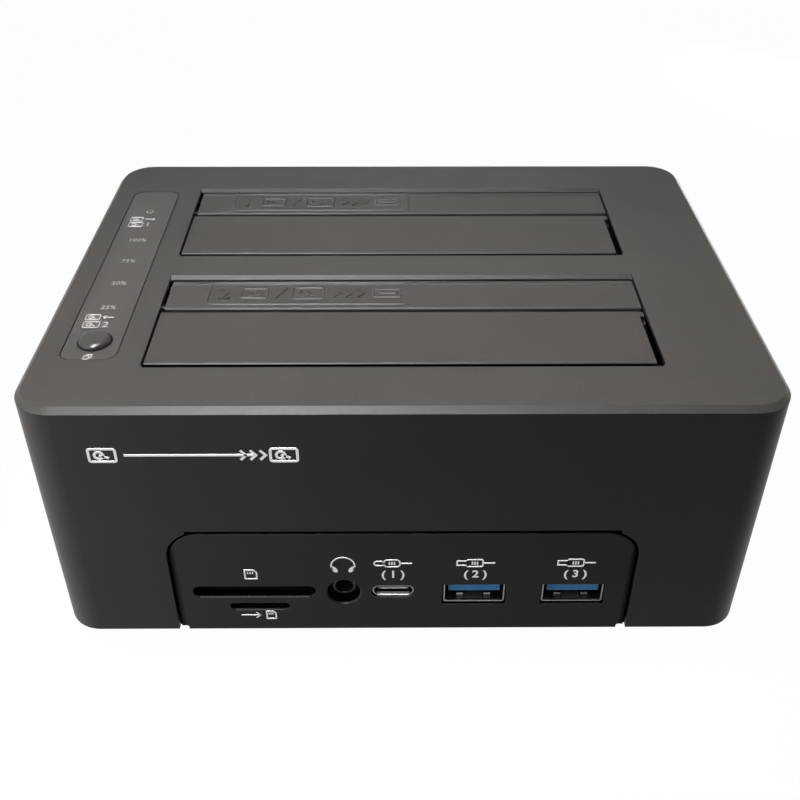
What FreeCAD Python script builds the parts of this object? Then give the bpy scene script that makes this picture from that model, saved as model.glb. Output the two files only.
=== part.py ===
import FreeCAD, Part
import math
import os
from FreeCAD import Vector

# Two-bay drive duplicator, in millimetres. X runs along the front, Y from front to back, Z up.
# The origin lies on the surface that the feet stand on, under the middle of the housing.
# Each bay has two sprung flaps that swing down: a narrow one alone takes a thin drive, and both
# together take a thick one. The drive stands on a blind-mate socket at the bottom of its bay.

# Clearances
FIT = 0.2                   # between two fixed mouldings
SWING = 0.3                 # between a moving piece and its surroundings
PIN_FIT = 0.02              # hinge pin in its carrier, radial
PIN_RUN = 0.05              # hinge pin in a flap, radial
PORT_FIT = 0.3              # port shell in its panel opening

# Housing
LENGTH = 150.0
WIDTH = 108.0
HEIGHT = 62.0               # without the feet
FOOT_LIFT = 1.5
CORNER_R = 8.0
TOP_EDGE_BEVEL = 1.2
WALL = 2.2
ROOF = 2.0
BASE_PLATE = 2.0

# Drive bays, measured at the top surface
BAY_MARGIN = 22.8           # from an end of the housing to the bays
BAY_SPAN = 34.0
BAY_BRIDGE = 10.2           # of the roof, between the two bays
BAYS_Y = -1.1               # middle of the pair of bays
BAY_CORNER_R = 0.8
LIP_WIDTH = 1.2
LIP_DROP = 0.55

# Flaps
FLAP_THICK = 1.8
FLAP_SUNK = 0.15
FLAP_GAP = 1.15             # from the edge of a bay to the hinge edge of its flap
FLAPS_MEET = 13.3           # from the rear edge of a bay to the line where its flaps meet
FLAPS_APART = 0.6           # between the free edges of the two flaps
HINGE_DROP = 3.7
HINGE_INSET = 1.1
BARREL_R = 1.3
PIN_R = 0.75
NARROW_END = 0.5
WIDE_END_SMALL = 1.0
WIDE_END_LARGE = 1.55
FLAP_BEVEL = 0.25
BEAD_INSET = 1.2            # from the hinge edge of a small flap
BEAD_WIDTH = 0.6
BEAD_RISE = 0.13
NECK = 1.5
RIB_WIDTH = 1.2
RIB_HEIGHT = 0.8
RIB_COUNT = 7
RIB_MARGIN = 7.0            # from the ends of a bay to the outermost ribs
RIB_SHORT = 2.5             # of the arc of the free edge
EAR_START = 0.3             # from the free edge of the top face
EAR_LENGTH = 1.8
EAR_WIDTH = 1.0
EAR_THICK = 1.2
EAR_OVERLAP = 1.1           # under the rim of the housing

# Flap springs
SPRING_ROOM = 6.6
SPRING_R = 1.2
SPRING_WIRE = 0.25          # half the side of the square wire
SPRING_TURNS = 4
SPRING_STEPS = 8            # flats to a turn
SPRING_PITCH = 1.0
SPRING_LEG = 6.5
SPRING_RELIEF = 0.35

# Bay carrier
CARRIER_WALL = 1.5
WELL_MARGIN = 1.6           # of a well past the ends of its bay
FLOOR_THICK = 1.5
FLOOR_LIFT = 6.0            # from the main board to the underside of the well floor
GUIDE_HEIGHT = 18.0
GUIDE_WIDTH = 1.6
GUIDE_SPACING = 16.0
GUIDE_SLOPE = 3.0
LEG_INSET_X = 3.3           # from the ends of the wells
LEG_INSET_Y = 0.3           # from the outer edges of a centred pair of bays
LEG = 6.4

# Main board
BOARD_THICK = 1.6
BOARD_LIFT = 6.7            # from the bottom cover to the underside of the board
BOARD_MARGIN_X = 13.5       # from the outer faces of the housing
BOARD_MARGIN_Y = 4.4

# Blind-mate drive sockets
SOCKET_X = -20.7
SOCKET_INSET = 7.0          # from the rear edge of a bay
SOCKET_LENGTH = 42.6
SOCKET_WIDTH = 5.9
SOCKET_HEIGHT = 10.2
SOCKET_POST = 1.9
SOCKET_POST_RISE = 2.2
SOCKET_PEG = 1.5
SOCKET_PEG_INSET = 3.0
KEY_DEPTH = 6.8
KEY_WIDTH = 1.4
KEY_LEG = 2.4
DATA_KEY = 10.6
POWER_KEY = 20.9
KEY_GAP = 2.5
KEY_OFFSET = 0.7
CONTACT_PITCH = 1.27
CONTACT_WIDTH = 0.55
CONTACT_THICK = 0.25
DATA_CONTACTS = 7
POWER_CONTACTS = 15

# Port panels
ARCH_HALF = 49.5
ARCH_HEIGHT = 29.9
ARCH_R = 7.3
FOOT_NOTCH = (1.5, 1.1)       # cut in each foot of the front panel: width and height
FOOT_NOTCH_R = 0.5
CENTRING_RIB = (0.4, 2.9)     # on each edge of the front panel: behind its face, and height
REAR_ARCH_HALF = 38.0
REAR_ARCH_HEIGHT = 24.0
SEAM = 0.65
PANEL_THICK = 2.0
FLANGE = 3.0
FLANGE_THICK = 1.3
PORT_SUNK = 0.15            # rear sockets, behind the face of their panel

# Front sockets
TYPE_A = (13.2, 5.7)
TYPE_A_X = (15.4, 36.7)
TYPE_A_Z = 12.5
TYPE_A_SUNK = 0.45
TYPE_A_OPENING_DROP = 0.15  # of the opening's centre below the shell's
TYPE_A_DEPTH = 14.2
TYPE_A_WALL = 0.3
TYPE_A_FOLD_R = 0.6
TYPE_A_TONGUE = (11.1, 1.9)
TYPE_A_TONGUE_DROP = 0.35   # from the inside of the shell
TYPE_A_TONGUE_SUNK = 0.35
TYPE_A_BACK = 4.0
TYPE_A_CONTACTS = (-3.5, -1.0, 1.0, 3.5)
TYPE_A_CONTACT = (1.0, 6.5, 0.15)
TYPE_A_CONTACT_SUNK = 1.0
FINGER_X = 2.95             # from the middle of the shell
FINGER_WIDTH = 1.5
FINGER_RISE = 0.8
FINGER_RUN = (0.6, 1.5, 6.0)
TYPE_C = (8.94, 3.26)
TYPE_C_X = -2.1
TYPE_C_Z = 13.45
TYPE_C_SUNK = 0.35
TYPE_C_FIT = 0.25           # in its panel opening
TYPE_C_DEPTH = 7.6
TYPE_C_WALL = 0.3
TYPE_C_TONGUE = (6.7, 0.7)
TYPE_C_TONGUE_SUNK = 0.8
TYPE_C_BACK = 1.6
TYPE_C_TAB = (1.8, 2.0)
TYPE_C_TAB_INSET = 1.2      # from the back of the shell
JACK_X = -12.7
JACK_Z = 13.25
JACK_WELL_R = 3.55          # the round well in the panel
JACK_WELL_BEVEL = 0.3
JACK_RING_R = 2.75
JACK_SUNK = 1.8
JACK_BEVEL = 0.3
JACK_BORE_R = 2.0
JACK_DEPTH = 12.5
JACK_LENGTH = 13.7
JACK_BODY = (6.8, 5.4)
CARD_SLOT = (26.5, 3.2)
CARD_X = -31.95
CARD_Z = 13.6
CARD_MOUTH = (24.8, 2.5)
CARD_SOCKET = (27.8, 3.3)
CARD_DEPTH = 27.0
MICRO_SLOT = (13.1, 2.0)
MICRO_X = -31.05
MICRO_Z = 8.9
MICRO_MOUTH = (11.4, 1.2)
MICRO_SOCKET = (13.8, 2.1)
MICRO_DEPTH = 14.0
CARD_WALL = 0.3

# Rear sockets and power switch
REAR_PORT_Z = 12.2
TYPE_B = (12.0, 10.2)
TYPE_B_X = 12.0
TYPE_B_DEPTH = 11.5
TYPE_B_SHOULDER = (2.0, 3.4)
TYPE_B_WALL = 0.4
TYPE_B_TONGUE = (5.6, 3.2)
TYPE_B_TONGUE_DROP = 1.4
TYPE_B_BAR = (5.6, 1.2)
TYPE_B_BAR_RISE = 3.2
TYPE_B_TONGUE_SUNK = 1.5
TYPE_B_BACK = 2.5
POWER_X = 29.0
POWER_BODY = (9.4, 10.4)
POWER_DEPTH = 12.0
POWER_BORE_R = 3.15
POWER_BORE_DEPTH = 9.6
POWER_PIN_R = 1.05
POWER_PIN_SUNK = 1.2
SWITCH_X = -24.0
SWITCH_Z = 13.0
SWITCH_BEZEL = (11.0, 16.0)
SWITCH_BODY = (9.0, 14.0)
SWITCH_BEZEL_THICK = 1.0
SWITCH_DEPTH = 9.5
ROCKER_HALF_X = 3.2
ROCKER_R = 5.6
ROCKER_TILT = 11.0
ROCKER_PIVOT = 3.2          # behind the panel's face
ROCKER_CREST = 2.6          # from the pivot to the crest between its two faces
ROCKER_BACK = 1.9           # from the pivot to its flat back
ROCKER_PIN_R = 0.9

# Status strip
STRIP_MARGIN = 5.8          # from the end of the housing
STRIP_WIDTH = 11.7
STRIP_Y = (-37.8, 37.5)
STRIP_R = 2.5
STRIP_THICK = 1.0
STRIP_SUNK = 0.05
STRIP_SEAM = 0.2
LED_INSET = 6.1             # from the strip's outer edge
LED_ROWS = (26.5, 20.7, 11.6, 1.6, -8.3, -18.3, -23.6)
LED = (3.0, 1.6, 0.8)
GUIDE_BAR = (4.4, 1.2)
LIGHT_WINDOW = 0.2
INDICATOR_DROP = 6.3        # from the roof to the top of the indicator board
INDICATOR_THICK = 1.2
INDICATOR_Y = (-42.0, 37.0)
INDICATOR_INSET = (0.2, 0.1)
INDICATOR_POST_Y = (-39.3, 33.6)
INDICATOR_POST = 3.6

# Clone button and its switch
BUTTON_Y = -31.3
BUTTON_R = 3.3
BUTTON_PROUD = 1.2
BUTTON_CROWN = 0.15
BUTTON_ROUND = 1.0
BUTTON_FLATS = 4            # round its upper edge
BUTTON_FLANGE_R = 4.1
BUTTON_FLANGE = 0.9
BUTTON_STEM_R = 1.6
BUTTON_TRAVEL = 0.6
KEY_SWITCH = 6.0
KEY_SWITCH_HEIGHT = 1.9
PLUNGER_R = 1.75
PLUNGER_RISE = 0.9
PLUNGER_POCKET = 1.3

# Ribbon cable between the two boards
RIBBON_Y = 8.0
RIBBON_WIDTH = 7.0
RIBBON_THICK = 0.7
RIBBON_R = 6.0
RIBBON_LOW_INSET = 1.3      # from the strip's inner edge
RIBBON_HIGH_INSET = 3.9
RIBBON_PLUG = (3.0, 9.0, 2.8)

# Feet and fasteners
FOOT_INSET_X = 13.5         # from the outer faces of the housing
FOOT_INSET_Y = 16.5
FOOT_R = 5.0
FOOT_BEVEL = 0.5
CORNER_BOSS_R = 3.2
CORNER_BOSS = 8.0           # from the outer faces to the boss
SCREW_R = 1.2
SCREW_HEAD_R = 2.4
SCREW_HEAD = 1.3
SCREW_RUN = 0.1
CASE_SCREW = 10.0
STAKE = 1.6
STAKE_HEAD = 0.6

# Parts on the main board: (x, y, length, width, height)
CHIPS = (
    (24.0, 8.0, 14.0, 14.0, 1.3),
    (-14.0, 8.0, 12.0, 12.0, 1.2),
    (4.0, -26.0, 9.0, 9.0, 1.0),
    (34.0, -22.0, 6.0, 5.0, 1.5),
)
CAPACITORS = ((46.0, 24.0), (46.0, 15.0))
CAPACITOR_R = 3.1
CAPACITOR_HEIGHT = 5.2

# Worked out from the sizes above
FRONT = -WIDTH / 2
BACK = WIDTH / 2
BASE = FOOT_LIFT
TOP = BASE + HEIGHT
ROOF_UNDER = TOP - ROOF
INNER_X = LENGTH / 2 - WALL
INNER_Y = WIDTH / 2 - WALL
COVER_TOP = BASE + BASE_PLATE
BOARD_UNDER = COVER_TOP + BOARD_LIFT
BOARD_TOP = BOARD_UNDER + BOARD_THICK
FLOOR_UNDER = BOARD_TOP + FLOOR_LIFT
FLOOR_TOP = FLOOR_UNDER + FLOOR_THICK
BAY_HALF = LENGTH / 2 - BAY_MARGIN
BAY_PITCH = BAY_SPAN + BAY_BRIDGE
BAYS = {"rear": BAYS_Y + BAY_PITCH / 2, "front": BAYS_Y - BAY_PITCH / 2}
CARRIER_TOP = ROOF_UNDER - SWING
CARRIER_HALF = BAY_HALF + WELL_MARGIN
CARRIER_OUTER = CARRIER_HALF + CARRIER_WALL
BOARD_HALF_X = LENGTH / 2 - BOARD_MARGIN_X
BOARD_HALF_Y = WIDTH / 2 - BOARD_MARGIN_Y
HINGE_Z = TOP - HINGE_DROP
HINGE_ROOM = HINGE_INSET + BARREL_R + SWING
FLAP_TOP = HINGE_DROP - FLAP_SUNK
FLAP_UNDER = FLAP_TOP - FLAP_THICK
HINGE_EDGE = HINGE_INSET + FLAP_GAP
SMALL_REACH = FLAPS_MEET + HINGE_INSET - FLAPS_APART / 2
LARGE_REACH = BAY_SPAN - FLAPS_MEET + HINGE_INSET - FLAPS_APART / 2
STRIP_X = (STRIP_MARGIN - LENGTH / 2, STRIP_MARGIN + STRIP_WIDTH - LENGTH / 2)
STRIP_FLOOR = TOP - STRIP_SUNK - STRIP_THICK
LED_X = STRIP_X[0] + LED_INSET
BUTTON_X = LED_X
INDICATOR_X = (STRIP_X[0] + INDICATOR_INSET[0], STRIP_X[1] - INDICATOR_INSET[1])
INDICATOR_TOP = ROOF_UNDER - INDICATOR_DROP
RIBBON_LOW_X = STRIP_X[1] - RIBBON_LOW_INSET
RIBBON_HIGH_X = STRIP_X[1] - RIBBON_HIGH_INSET
CORNER_BOSSES = [
    (sx * (LENGTH / 2 - CORNER_BOSS), sy * (WIDTH / 2 - CORNER_BOSS)) for sx in (-1, 1) for sy in (-1, 1)
]
LEG_X = CARRIER_HALF - LEG_INSET_X
LEG_Y = (BAY_PITCH + BAY_SPAN) / 2 - LEG_INSET_Y
LEGS = [(sx * LEG_X, sy * LEG_Y) for sx in (-1, 1) for sy in (-1, 1)]
FOOT_X = LENGTH / 2 - FOOT_INSET_X
FOOT_Y = WIDTH / 2 - FOOT_INSET_Y
FEET = [(sx * FOOT_X, sy * FOOT_Y) for sx in (-1, 1) for sy in (-1, 1)]
PAST = 1.0                  # how far a cut runs past what it cuts
JOIN = 0.1                  # how far two pieces of one solid reach into each other
NEAR = 0.01                 # how close an edge lies to where it is looked for

PLANES = {
    "xy": lambda u, v, depth: Vector(u, v, depth),
    "xz": lambda u, v, depth: Vector(u, depth, v),
    "yz": lambda u, v, depth: Vector(depth, u, v),
}


def outline(corners, plane, depth):
    """A closed wire through corners (u, v, radius), with an arc at each corner that has a radius."""
    place = PLANES[plane]
    turns = []
    for i, (u, v, radius) in enumerate(corners):
        here = Vector(u, v, 0)
        before = Vector(*corners[i - 1][:2], 0) - here
        after = Vector(*corners[(i + 1) % len(corners)][:2], 0) - here
        before.normalize()
        after.normalize()
        if radius == 0:
            turns.append((here, None, here))
            continue
        half = before.getAngle(after) / 2
        reach = radius / math.tan(half)
        inward = before + after
        inward.normalize()
        middle = here + inward * (radius / math.sin(half) - radius)
        turns.append((here + before * reach, middle, here + after * reach))
    edges = []
    for i, (start, middle, end) in enumerate(turns):
        if middle is not None:
            points = [place(p.x, p.y, depth) for p in (start, middle, end)]
            edges.append(Part.Arc(*points).toShape())
        ahead = turns[(i + 1) % len(turns)][0]
        if (ahead - end).Length > 1e-6:
            points = [place(p.x, p.y, depth) for p in (end, ahead)]
            edges.append(Part.LineSegment(*points).toShape())
    return Part.Wire(edges)


def prism(corners, plane, low, high):
    """The outline filled and extruded between two depths along the plane's normal."""
    return Part.Face(outline(corners, plane, low)).extrude(PLANES[plane](0, 0, high - low))


def rectangle(u, v, radius=0.0):
    """Corners of a rectangle between two limits each way."""
    return [(u[0], v[0], radius), (u[1], v[0], radius), (u[1], v[1], radius), (u[0], v[1], radius)]


def centred(middle, size, radius=0.0, grow=0.0):
    """Corners of a rectangle about a middle point, made larger all round by grow."""
    u = (middle[0] - size[0] / 2 - grow, middle[0] + size[0] / 2 + grow)
    v = (middle[1] - size[1] / 2 - grow, middle[1] + size[1] / 2 + grow)
    return rectangle(u, v, radius)


def block(x, y, z):
    """A plain block between two limits on each axis."""
    return Part.makeBox(x[1] - x[0], y[1] - y[0], z[1] - z[0], Vector(x[0], y[0], z[0]))


def rod(radius, start, end):
    """A round bar from one centre to the other."""
    start = Vector(*start)
    along = Vector(*end) - start
    return Part.makeCylinder(radius, along.Length, start, along)


def upright(radius, at, z):
    """A round bar along Z."""
    return rod(radius, (at[0], at[1], z[0]), (at[0], at[1], z[1]))


def joined(pieces):
    """One solid from pieces that overlap or share a face."""
    return pieces[0].multiFuse(pieces[1:]).removeSplitter()


def without(body, cuts):
    """The body after all cuts."""
    for cut in cuts:
        body = body.cut(cut)
    return body


def edges_between(shape, low, high):
    """The edges that lie wholly inside a box, for fillets and chamfers."""
    limits = FreeCAD.BoundBox(*low, *high)
    return [edge for edge in shape.Edges if limits.isInside(edge.BoundBox)]


def save(node, shape):
    """Writes one node: a solid, or a group of separate solids."""
    if isinstance(shape, list):
        shape = Part.Compound(shape)
    shape.exportStep("parts/%s.step" % node)


# Housing


def arch(half, height, radius, grow, bottom):
    """The port panels' outline, round at its two upper corners."""
    top = BASE + height + grow
    side = half + grow
    return [(-side, bottom, 0), (side, bottom, 0), (side, top, radius + grow), (-side, top, radius + grow)]


def corner_rib(at):
    """Ties a corner boss to the corner of the housing."""
    rib = block((0, CORNER_BOSS), (-RIB_WIDTH / 2, RIB_WIDTH / 2), (COVER_TOP + PAST, ROOF_UNDER + PAST))
    heading = math.degrees(math.atan2(math.copysign(1, at[1]), math.copysign(1, at[0])))
    rib.rotate(Vector(0, 0, 0), Vector(0, 0, 1), heading)
    rib.translate(Vector(at[0], at[1], 0))
    return rib


def bay_cut(middle):
    """The opening of one bay, with the sloping lip along its rear edge."""
    y = (middle - BAY_SPAN / 2, middle + BAY_SPAN / 2)
    opening = prism(rectangle((-BAY_HALF, BAY_HALF), y, BAY_CORNER_R), "xy", ROOF_UNDER - PAST, TOP + PAST)
    low = TOP - LIP_DROP
    slope = [(y[1] - PAST, low, 0), (y[1], low, 0), (y[1] + LIP_WIDTH, TOP, 0)]
    slope += [(y[1] + LIP_WIDTH, TOP + PAST, 0), (y[1] - PAST, TOP + PAST, 0)]
    return opening.fuse(prism(slope, "yz", -BAY_HALF, BAY_HALF))


def light_windows():
    """The openings above the indicator lights."""
    for y in LED_ROWS:
        corners = centred((LED_X, y), LED[:2], 0, LIGHT_WINDOW)
        yield prism(corners, "xy", ROOF_UNDER - PAST, STRIP_FLOOR + PAST)


def top_shell():
    outer = prism(rectangle((-LENGTH / 2, LENGTH / 2), (FRONT, BACK), CORNER_R), "xy", BASE, TOP)
    rim = edges_between(outer, (-LENGTH, -WIDTH, TOP - NEAR), (LENGTH, WIDTH, TOP + NEAR))
    outer = outer.makeChamfer(TOP_EDGE_BEVEL, rim)
    inner = rectangle((-INNER_X, INNER_X), (-INNER_Y, INNER_Y), CORNER_R - WALL)
    shell = outer.cut(prism(inner, "xy", BASE - PAST, ROOF_UNDER))
    additions = [shell]
    for at in CORNER_BOSSES:
        additions.append(upright(CORNER_BOSS_R, at, (COVER_TOP, ROOF_UNDER)))
        additions.append(corner_rib(at).common(outer))
    for y in INDICATOR_POST_Y:
        post = (INDICATOR_POST, INDICATOR_POST)
        additions.append(prism(centred((LED_X, y), post), "xy", INDICATOR_TOP, ROOF_UNDER))
        tip = INDICATOR_TOP - INDICATOR_THICK - STAKE_HEAD
        additions.append(prism(centred((LED_X, y), (STAKE, STAKE)), "xy", tip, INDICATOR_TOP))
    shell = joined(additions)
    cuts = [bay_cut(middle) for middle in BAYS.values()]
    strip = rectangle(STRIP_X, STRIP_Y, STRIP_R)
    cuts.append(prism(strip, "xy", STRIP_FLOOR, TOP + PAST))
    cuts.extend(light_windows())
    cuts.append(upright(BUTTON_R + SWING, (BUTTON_X, BUTTON_Y), (ROOF_UNDER - PAST, TOP)))
    front = arch(ARCH_HALF, ARCH_HEIGHT, ARCH_R, 0, BASE - PAST)
    cuts.append(prism(front, "xz", FRONT - PAST, FRONT + WALL + PAST))
    rear = arch(REAR_ARCH_HALF, REAR_ARCH_HEIGHT, ARCH_R, 0, BASE - PAST)
    cuts.append(prism(rear, "xz", BACK - WALL - PAST, BACK + PAST))
    for at in CORNER_BOSSES:
        cuts.append(upright(SCREW_R + PIN_RUN, at, (COVER_TOP - PAST, COVER_TOP + CASE_SCREW)))
    return without(shell, cuts)


def bottom_cover():
    x = INNER_X - FIT
    y = INNER_Y - FIT
    plate = prism(rectangle((-x, x), (-y, y), CORNER_R - WALL - FIT), "xy", BASE, COVER_TOP)
    behind = WALL + FLANGE_THICK + FIT * 2
    front = block((-ARCH_HALF, ARCH_HALF), (FRONT, FRONT + behind), (BASE - PAST, COVER_TOP + PAST))
    rear = block((-REAR_ARCH_HALF, REAR_ARCH_HALF), (BACK - behind, BACK), (BASE - PAST, COVER_TOP + PAST))
    stands = [prism(centred(at, (LEG, LEG)), "xy", BASE, BOARD_UNDER) for at in LEGS]
    cover = joined([without(plate, [front, rear])] + stands)
    cuts = []
    for at in CORNER_BOSSES:
        cuts.append(upright(SCREW_HEAD_R + SCREW_RUN, at, (BASE - PAST, BASE + SCREW_HEAD)))
        cuts.append(upright(SCREW_R + SCREW_RUN, at, (BASE, COVER_TOP + PAST)))
    return without(cover, cuts)


def port_panel(half, height, face, inward):
    """An arched insert: a face flush with the housing and a flange behind its wall."""
    def along(depth):
        return sorted((face + inward * depth[0], face + inward * depth[1]))

    back = WALL + FIT / 2 + FLANGE_THICK
    plate = prism(arch(half, height, ARCH_R, -SEAM, BASE), "xz", *along((0, back)))
    skirt = arch(half, height, ARCH_R, FLANGE, COVER_TOP + FIT)
    flange = prism(skirt, "xz", *along((WALL + FIT / 2, back)))
    panel = joined([plate, flange])
    pocket = arch(half, height, ARCH_R, -SEAM - PANEL_THICK, COVER_TOP)
    return panel.cut(prism(pocket, "xz", *along((PANEL_THICK, back + PAST))))


def port_cut(corners, face, inward):
    """An opening right through a port panel."""
    ends = sorted((face - inward * PAST, face + inward * (PANEL_THICK + WALL + PAST)))
    return prism(corners, "xz", *ends)


def front_port_panel():
    panel = port_panel(ARCH_HALF, ARCH_HEIGHT, FRONT, 1)
    edge = ARCH_HALF - SEAM
    foot = BASE + FOOT_NOTCH[1]
    cuts = []
    for side in (-1, 1):
        x = sorted((side * (edge - PAST), side * (ARCH_HALF - FIT)))
        rib = block(x, (FRONT + CENTRING_RIB[0], FRONT + WALL), (foot, foot + CENTRING_RIB[1]))
        panel = joined([panel, rib])
        size = (FOOT_NOTCH[0] * 2, FOOT_NOTCH[1] * 2)
        cuts.append(port_cut(centred((side * edge, BASE), size, FOOT_NOTCH_R), FRONT, 1))
    for x in TYPE_A_X:
        middle = (x, TYPE_A_Z - TYPE_A_OPENING_DROP)
        cuts.append(port_cut(centred(middle, TYPE_A, 0, PORT_FIT), FRONT, 1))
    slots = [((TYPE_C_X, TYPE_C_Z), TYPE_C, TYPE_C_FIT), ((CARD_X, CARD_Z), CARD_SLOT, 0)]
    slots.append(((MICRO_X, MICRO_Z), MICRO_SLOT, 0))
    for middle, size, grow in slots:
        cuts.append(port_cut(centred(middle, size, size[1] / 2 + grow, grow), FRONT, 1))
    cuts.append(rod(JACK_WELL_R, (JACK_X, FRONT - PAST, JACK_Z), (JACK_X, FRONT + WALL, JACK_Z)))
    mouth = Part.makeCone(
        JACK_WELL_R + JACK_WELL_BEVEL, JACK_WELL_R, JACK_WELL_BEVEL,
        Vector(JACK_X, FRONT, JACK_Z), Vector(0, 1, 0),
    )
    cuts.append(mouth)
    return without(panel, cuts)


def rear_port_panel():
    panel = port_panel(REAR_ARCH_HALF, REAR_ARCH_HEIGHT, BACK, -1)
    cuts = [
        port_cut(type_b_outline(PORT_FIT), BACK, -1),
        port_cut(centred((SWITCH_X, SWITCH_Z), SWITCH_BODY, 0, PORT_FIT / 2), BACK, -1),
        port_cut(centred((POWER_X, REAR_PORT_Z), POWER_BODY, 0, PORT_FIT / 2), BACK, -1),
    ]
    return without(panel, cuts)


def case_screws():
    """Pan-head screws, their heads sunk in the cover."""
    for at in CORNER_BOSSES:
        seat = BASE + SCREW_HEAD
        head = upright(SCREW_HEAD_R, at, (seat - SCREW_HEAD + 0.2, seat))
        yield joined([head, upright(SCREW_R, at, (seat, COVER_TOP + CASE_SCREW - 1))])


def rubber_feet():
    for at in FEET:
        foot = upright(FOOT_R, at, (0, BASE))
        edge = edges_between(foot, (-LENGTH, -WIDTH, -NEAR), (LENGTH, WIDTH, NEAR))
        yield foot.makeChamfer(FOOT_BEVEL, edge)


# Bay carrier and boards


def well_limits(middle):
    """Front and rear inner faces of one well, clear of the hinge barrels."""
    return (middle - BAY_SPAN / 2 - HINGE_ROOM, middle + BAY_SPAN / 2 + HINGE_ROOM)


def socket_y(middle):
    return middle + BAY_SPAN / 2 - SOCKET_INSET


def guide_rib(side, y):
    """A rib that centres a thick drive, with a sloping lead-in at its top."""
    wall = side * (CARRIER_HALF + JOIN)
    tip = side * BAY_HALF
    high = FLOOR_TOP + GUIDE_HEIGHT
    low = FLOOR_TOP - JOIN
    corners = [(wall, low, 0), (tip, low, 0), (tip, high - GUIDE_SLOPE, 0), (wall, high, 0)]
    return prism(corners, "xz", y - GUIDE_WIDTH / 2, y + GUIDE_WIDTH / 2)


def bay_carrier():
    low = well_limits(BAYS["front"])[0] - CARRIER_WALL
    high = well_limits(BAYS["rear"])[1] + CARRIER_WALL
    outer = rectangle((-CARRIER_OUTER, CARRIER_OUTER), (low, high))
    body = prism(outer, "xy", FLOOR_UNDER, CARRIER_TOP)
    cuts = []
    for middle in BAYS.values():
        well = rectangle((-CARRIER_HALF, CARRIER_HALF), well_limits(middle))
        cuts.append(prism(well, "xy", FLOOR_TOP, CARRIER_TOP + PAST))
        half = SOCKET_LENGTH / 2 + SOCKET_POST + FIT * 2
        y = socket_y(middle)
        reach = SOCKET_WIDTH / 2 + FIT * 2
        window = rectangle((SOCKET_X - half, SOCKET_X + half), (y - reach, y + reach))
        cuts.append(prism(window, "xy", FLOOR_UNDER - PAST, FLOOR_TOP + PAST))
    core = (well_limits(BAYS["front"])[1] + CARRIER_WALL, well_limits(BAYS["rear"])[0] - CARRIER_WALL)
    core_top = HINGE_Z - BARREL_R - SWING
    cuts.append(block((-CARRIER_HALF, CARRIER_HALF), core, (FLOOR_UNDER - PAST, core_top)))
    body = without(body, cuts)
    additions = [body]
    for at in LEGS:
        additions.append(prism(centred(at, (LEG, LEG)), "xy", BOARD_TOP, FLOOR_UNDER + JOIN))
    for middle in BAYS.values():
        for side in (-1, 1):
            for offset in (-GUIDE_SPACING / 2, GUIDE_SPACING / 2):
                additions.append(guide_rib(side, middle + offset))
    body = joined(additions)
    bores = []
    for y in hinge_lines().values():
        ends = (CARRIER_OUTER + PAST, CARRIER_HALF - PAST)
        for side in (-1, 1):
            bores.append(rod(PIN_R + PIN_FIT, (side * ends[1], y, HINGE_Z), (side * ends[0], y, HINGE_Z)))
    return without(body, bores)


def main_board():
    board = prism(
        rectangle((-BOARD_HALF_X, BOARD_HALF_X), (-BOARD_HALF_Y, BOARD_HALF_Y)),
        "xy", BOARD_UNDER, BOARD_TOP,
    )
    cuts = []
    depth = (BOARD_UNDER - PAST, BOARD_TOP + PAST)
    for x in TYPE_A_X:
        half = TYPE_A[0] / 2 + FIT
        cuts.append(block((x - half, x + half), (FRONT, FRONT + TYPE_A_SUNK + TYPE_A_DEPTH + FIT), depth))
    half = JACK_BODY[0] / 2 + FIT
    end = FRONT + JACK_SUNK + JACK_LENGTH + FIT
    cuts.append(block((JACK_X - half, JACK_X + half), (FRONT, end), depth))
    for x, size, reach in ((TYPE_B_X, TYPE_B, TYPE_B_DEPTH), (POWER_X, POWER_BODY, POWER_DEPTH)):
        half = size[0] / 2 + FIT
        cuts.append(block((x - half, x + half), (BACK - PORT_SUNK - reach - FIT, BACK), depth))
    half = SWITCH_BODY[0] / 2 + FIT
    cuts.append(block((SWITCH_X - half, SWITCH_X + half), (BACK - SWITCH_DEPTH - FIT, BACK), depth))
    for middle in BAYS.values():
        for at in socket_pegs(middle):
            cuts.append(prism(centred(at, (SOCKET_PEG, SOCKET_PEG), 0, PIN_RUN), "xy", *depth))
    return without(board, cuts)


def chips():
    for x, y, length, width, height in CHIPS:
        yield prism(centred((x, y), (length, width)), "xy", BOARD_TOP, BOARD_TOP + height)


def capacitors():
    for at in CAPACITORS:
        seat = prism(centred(at, (CAPACITOR_R * 2, CAPACITOR_R * 2)), "xy", BOARD_TOP, BOARD_TOP + 1)
        yield joined([seat, upright(CAPACITOR_R, at, (BOARD_TOP + 1, BOARD_TOP + CAPACITOR_HEIGHT))])


# Blind-mate drive sockets


def keyways(y):
    """The two L-shaped slots, as (start x, length) along the socket, with the short leg at the start."""
    total = DATA_KEY + POWER_KEY + KEY_GAP
    start = SOCKET_X - total / 2
    return [(start, DATA_KEY, y + KEY_OFFSET), (start + DATA_KEY + KEY_GAP, POWER_KEY, y + KEY_OFFSET)]


def keyway_cut(start, length, y, top):
    """One L-shaped slot."""
    inner = y - KEY_WIDTH / 2
    corners = [
        (start, y + KEY_WIDTH / 2, 0),
        (start, inner - KEY_LEG + KEY_WIDTH, 0),
        (start + KEY_WIDTH, inner - KEY_LEG + KEY_WIDTH, 0),
        (start + KEY_WIDTH, inner, 0),
        (start + length, inner, 0),
        (start + length, y + KEY_WIDTH / 2, 0),
    ]
    return prism(corners, "xy", top - KEY_DEPTH, top + PAST)


def socket_pegs(middle):
    """The pegs that place a drive socket on the board."""
    return [(SOCKET_X + side * (SOCKET_LENGTH / 2 - SOCKET_PEG_INSET), socket_y(middle)) for side in (-1, 1)]


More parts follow.
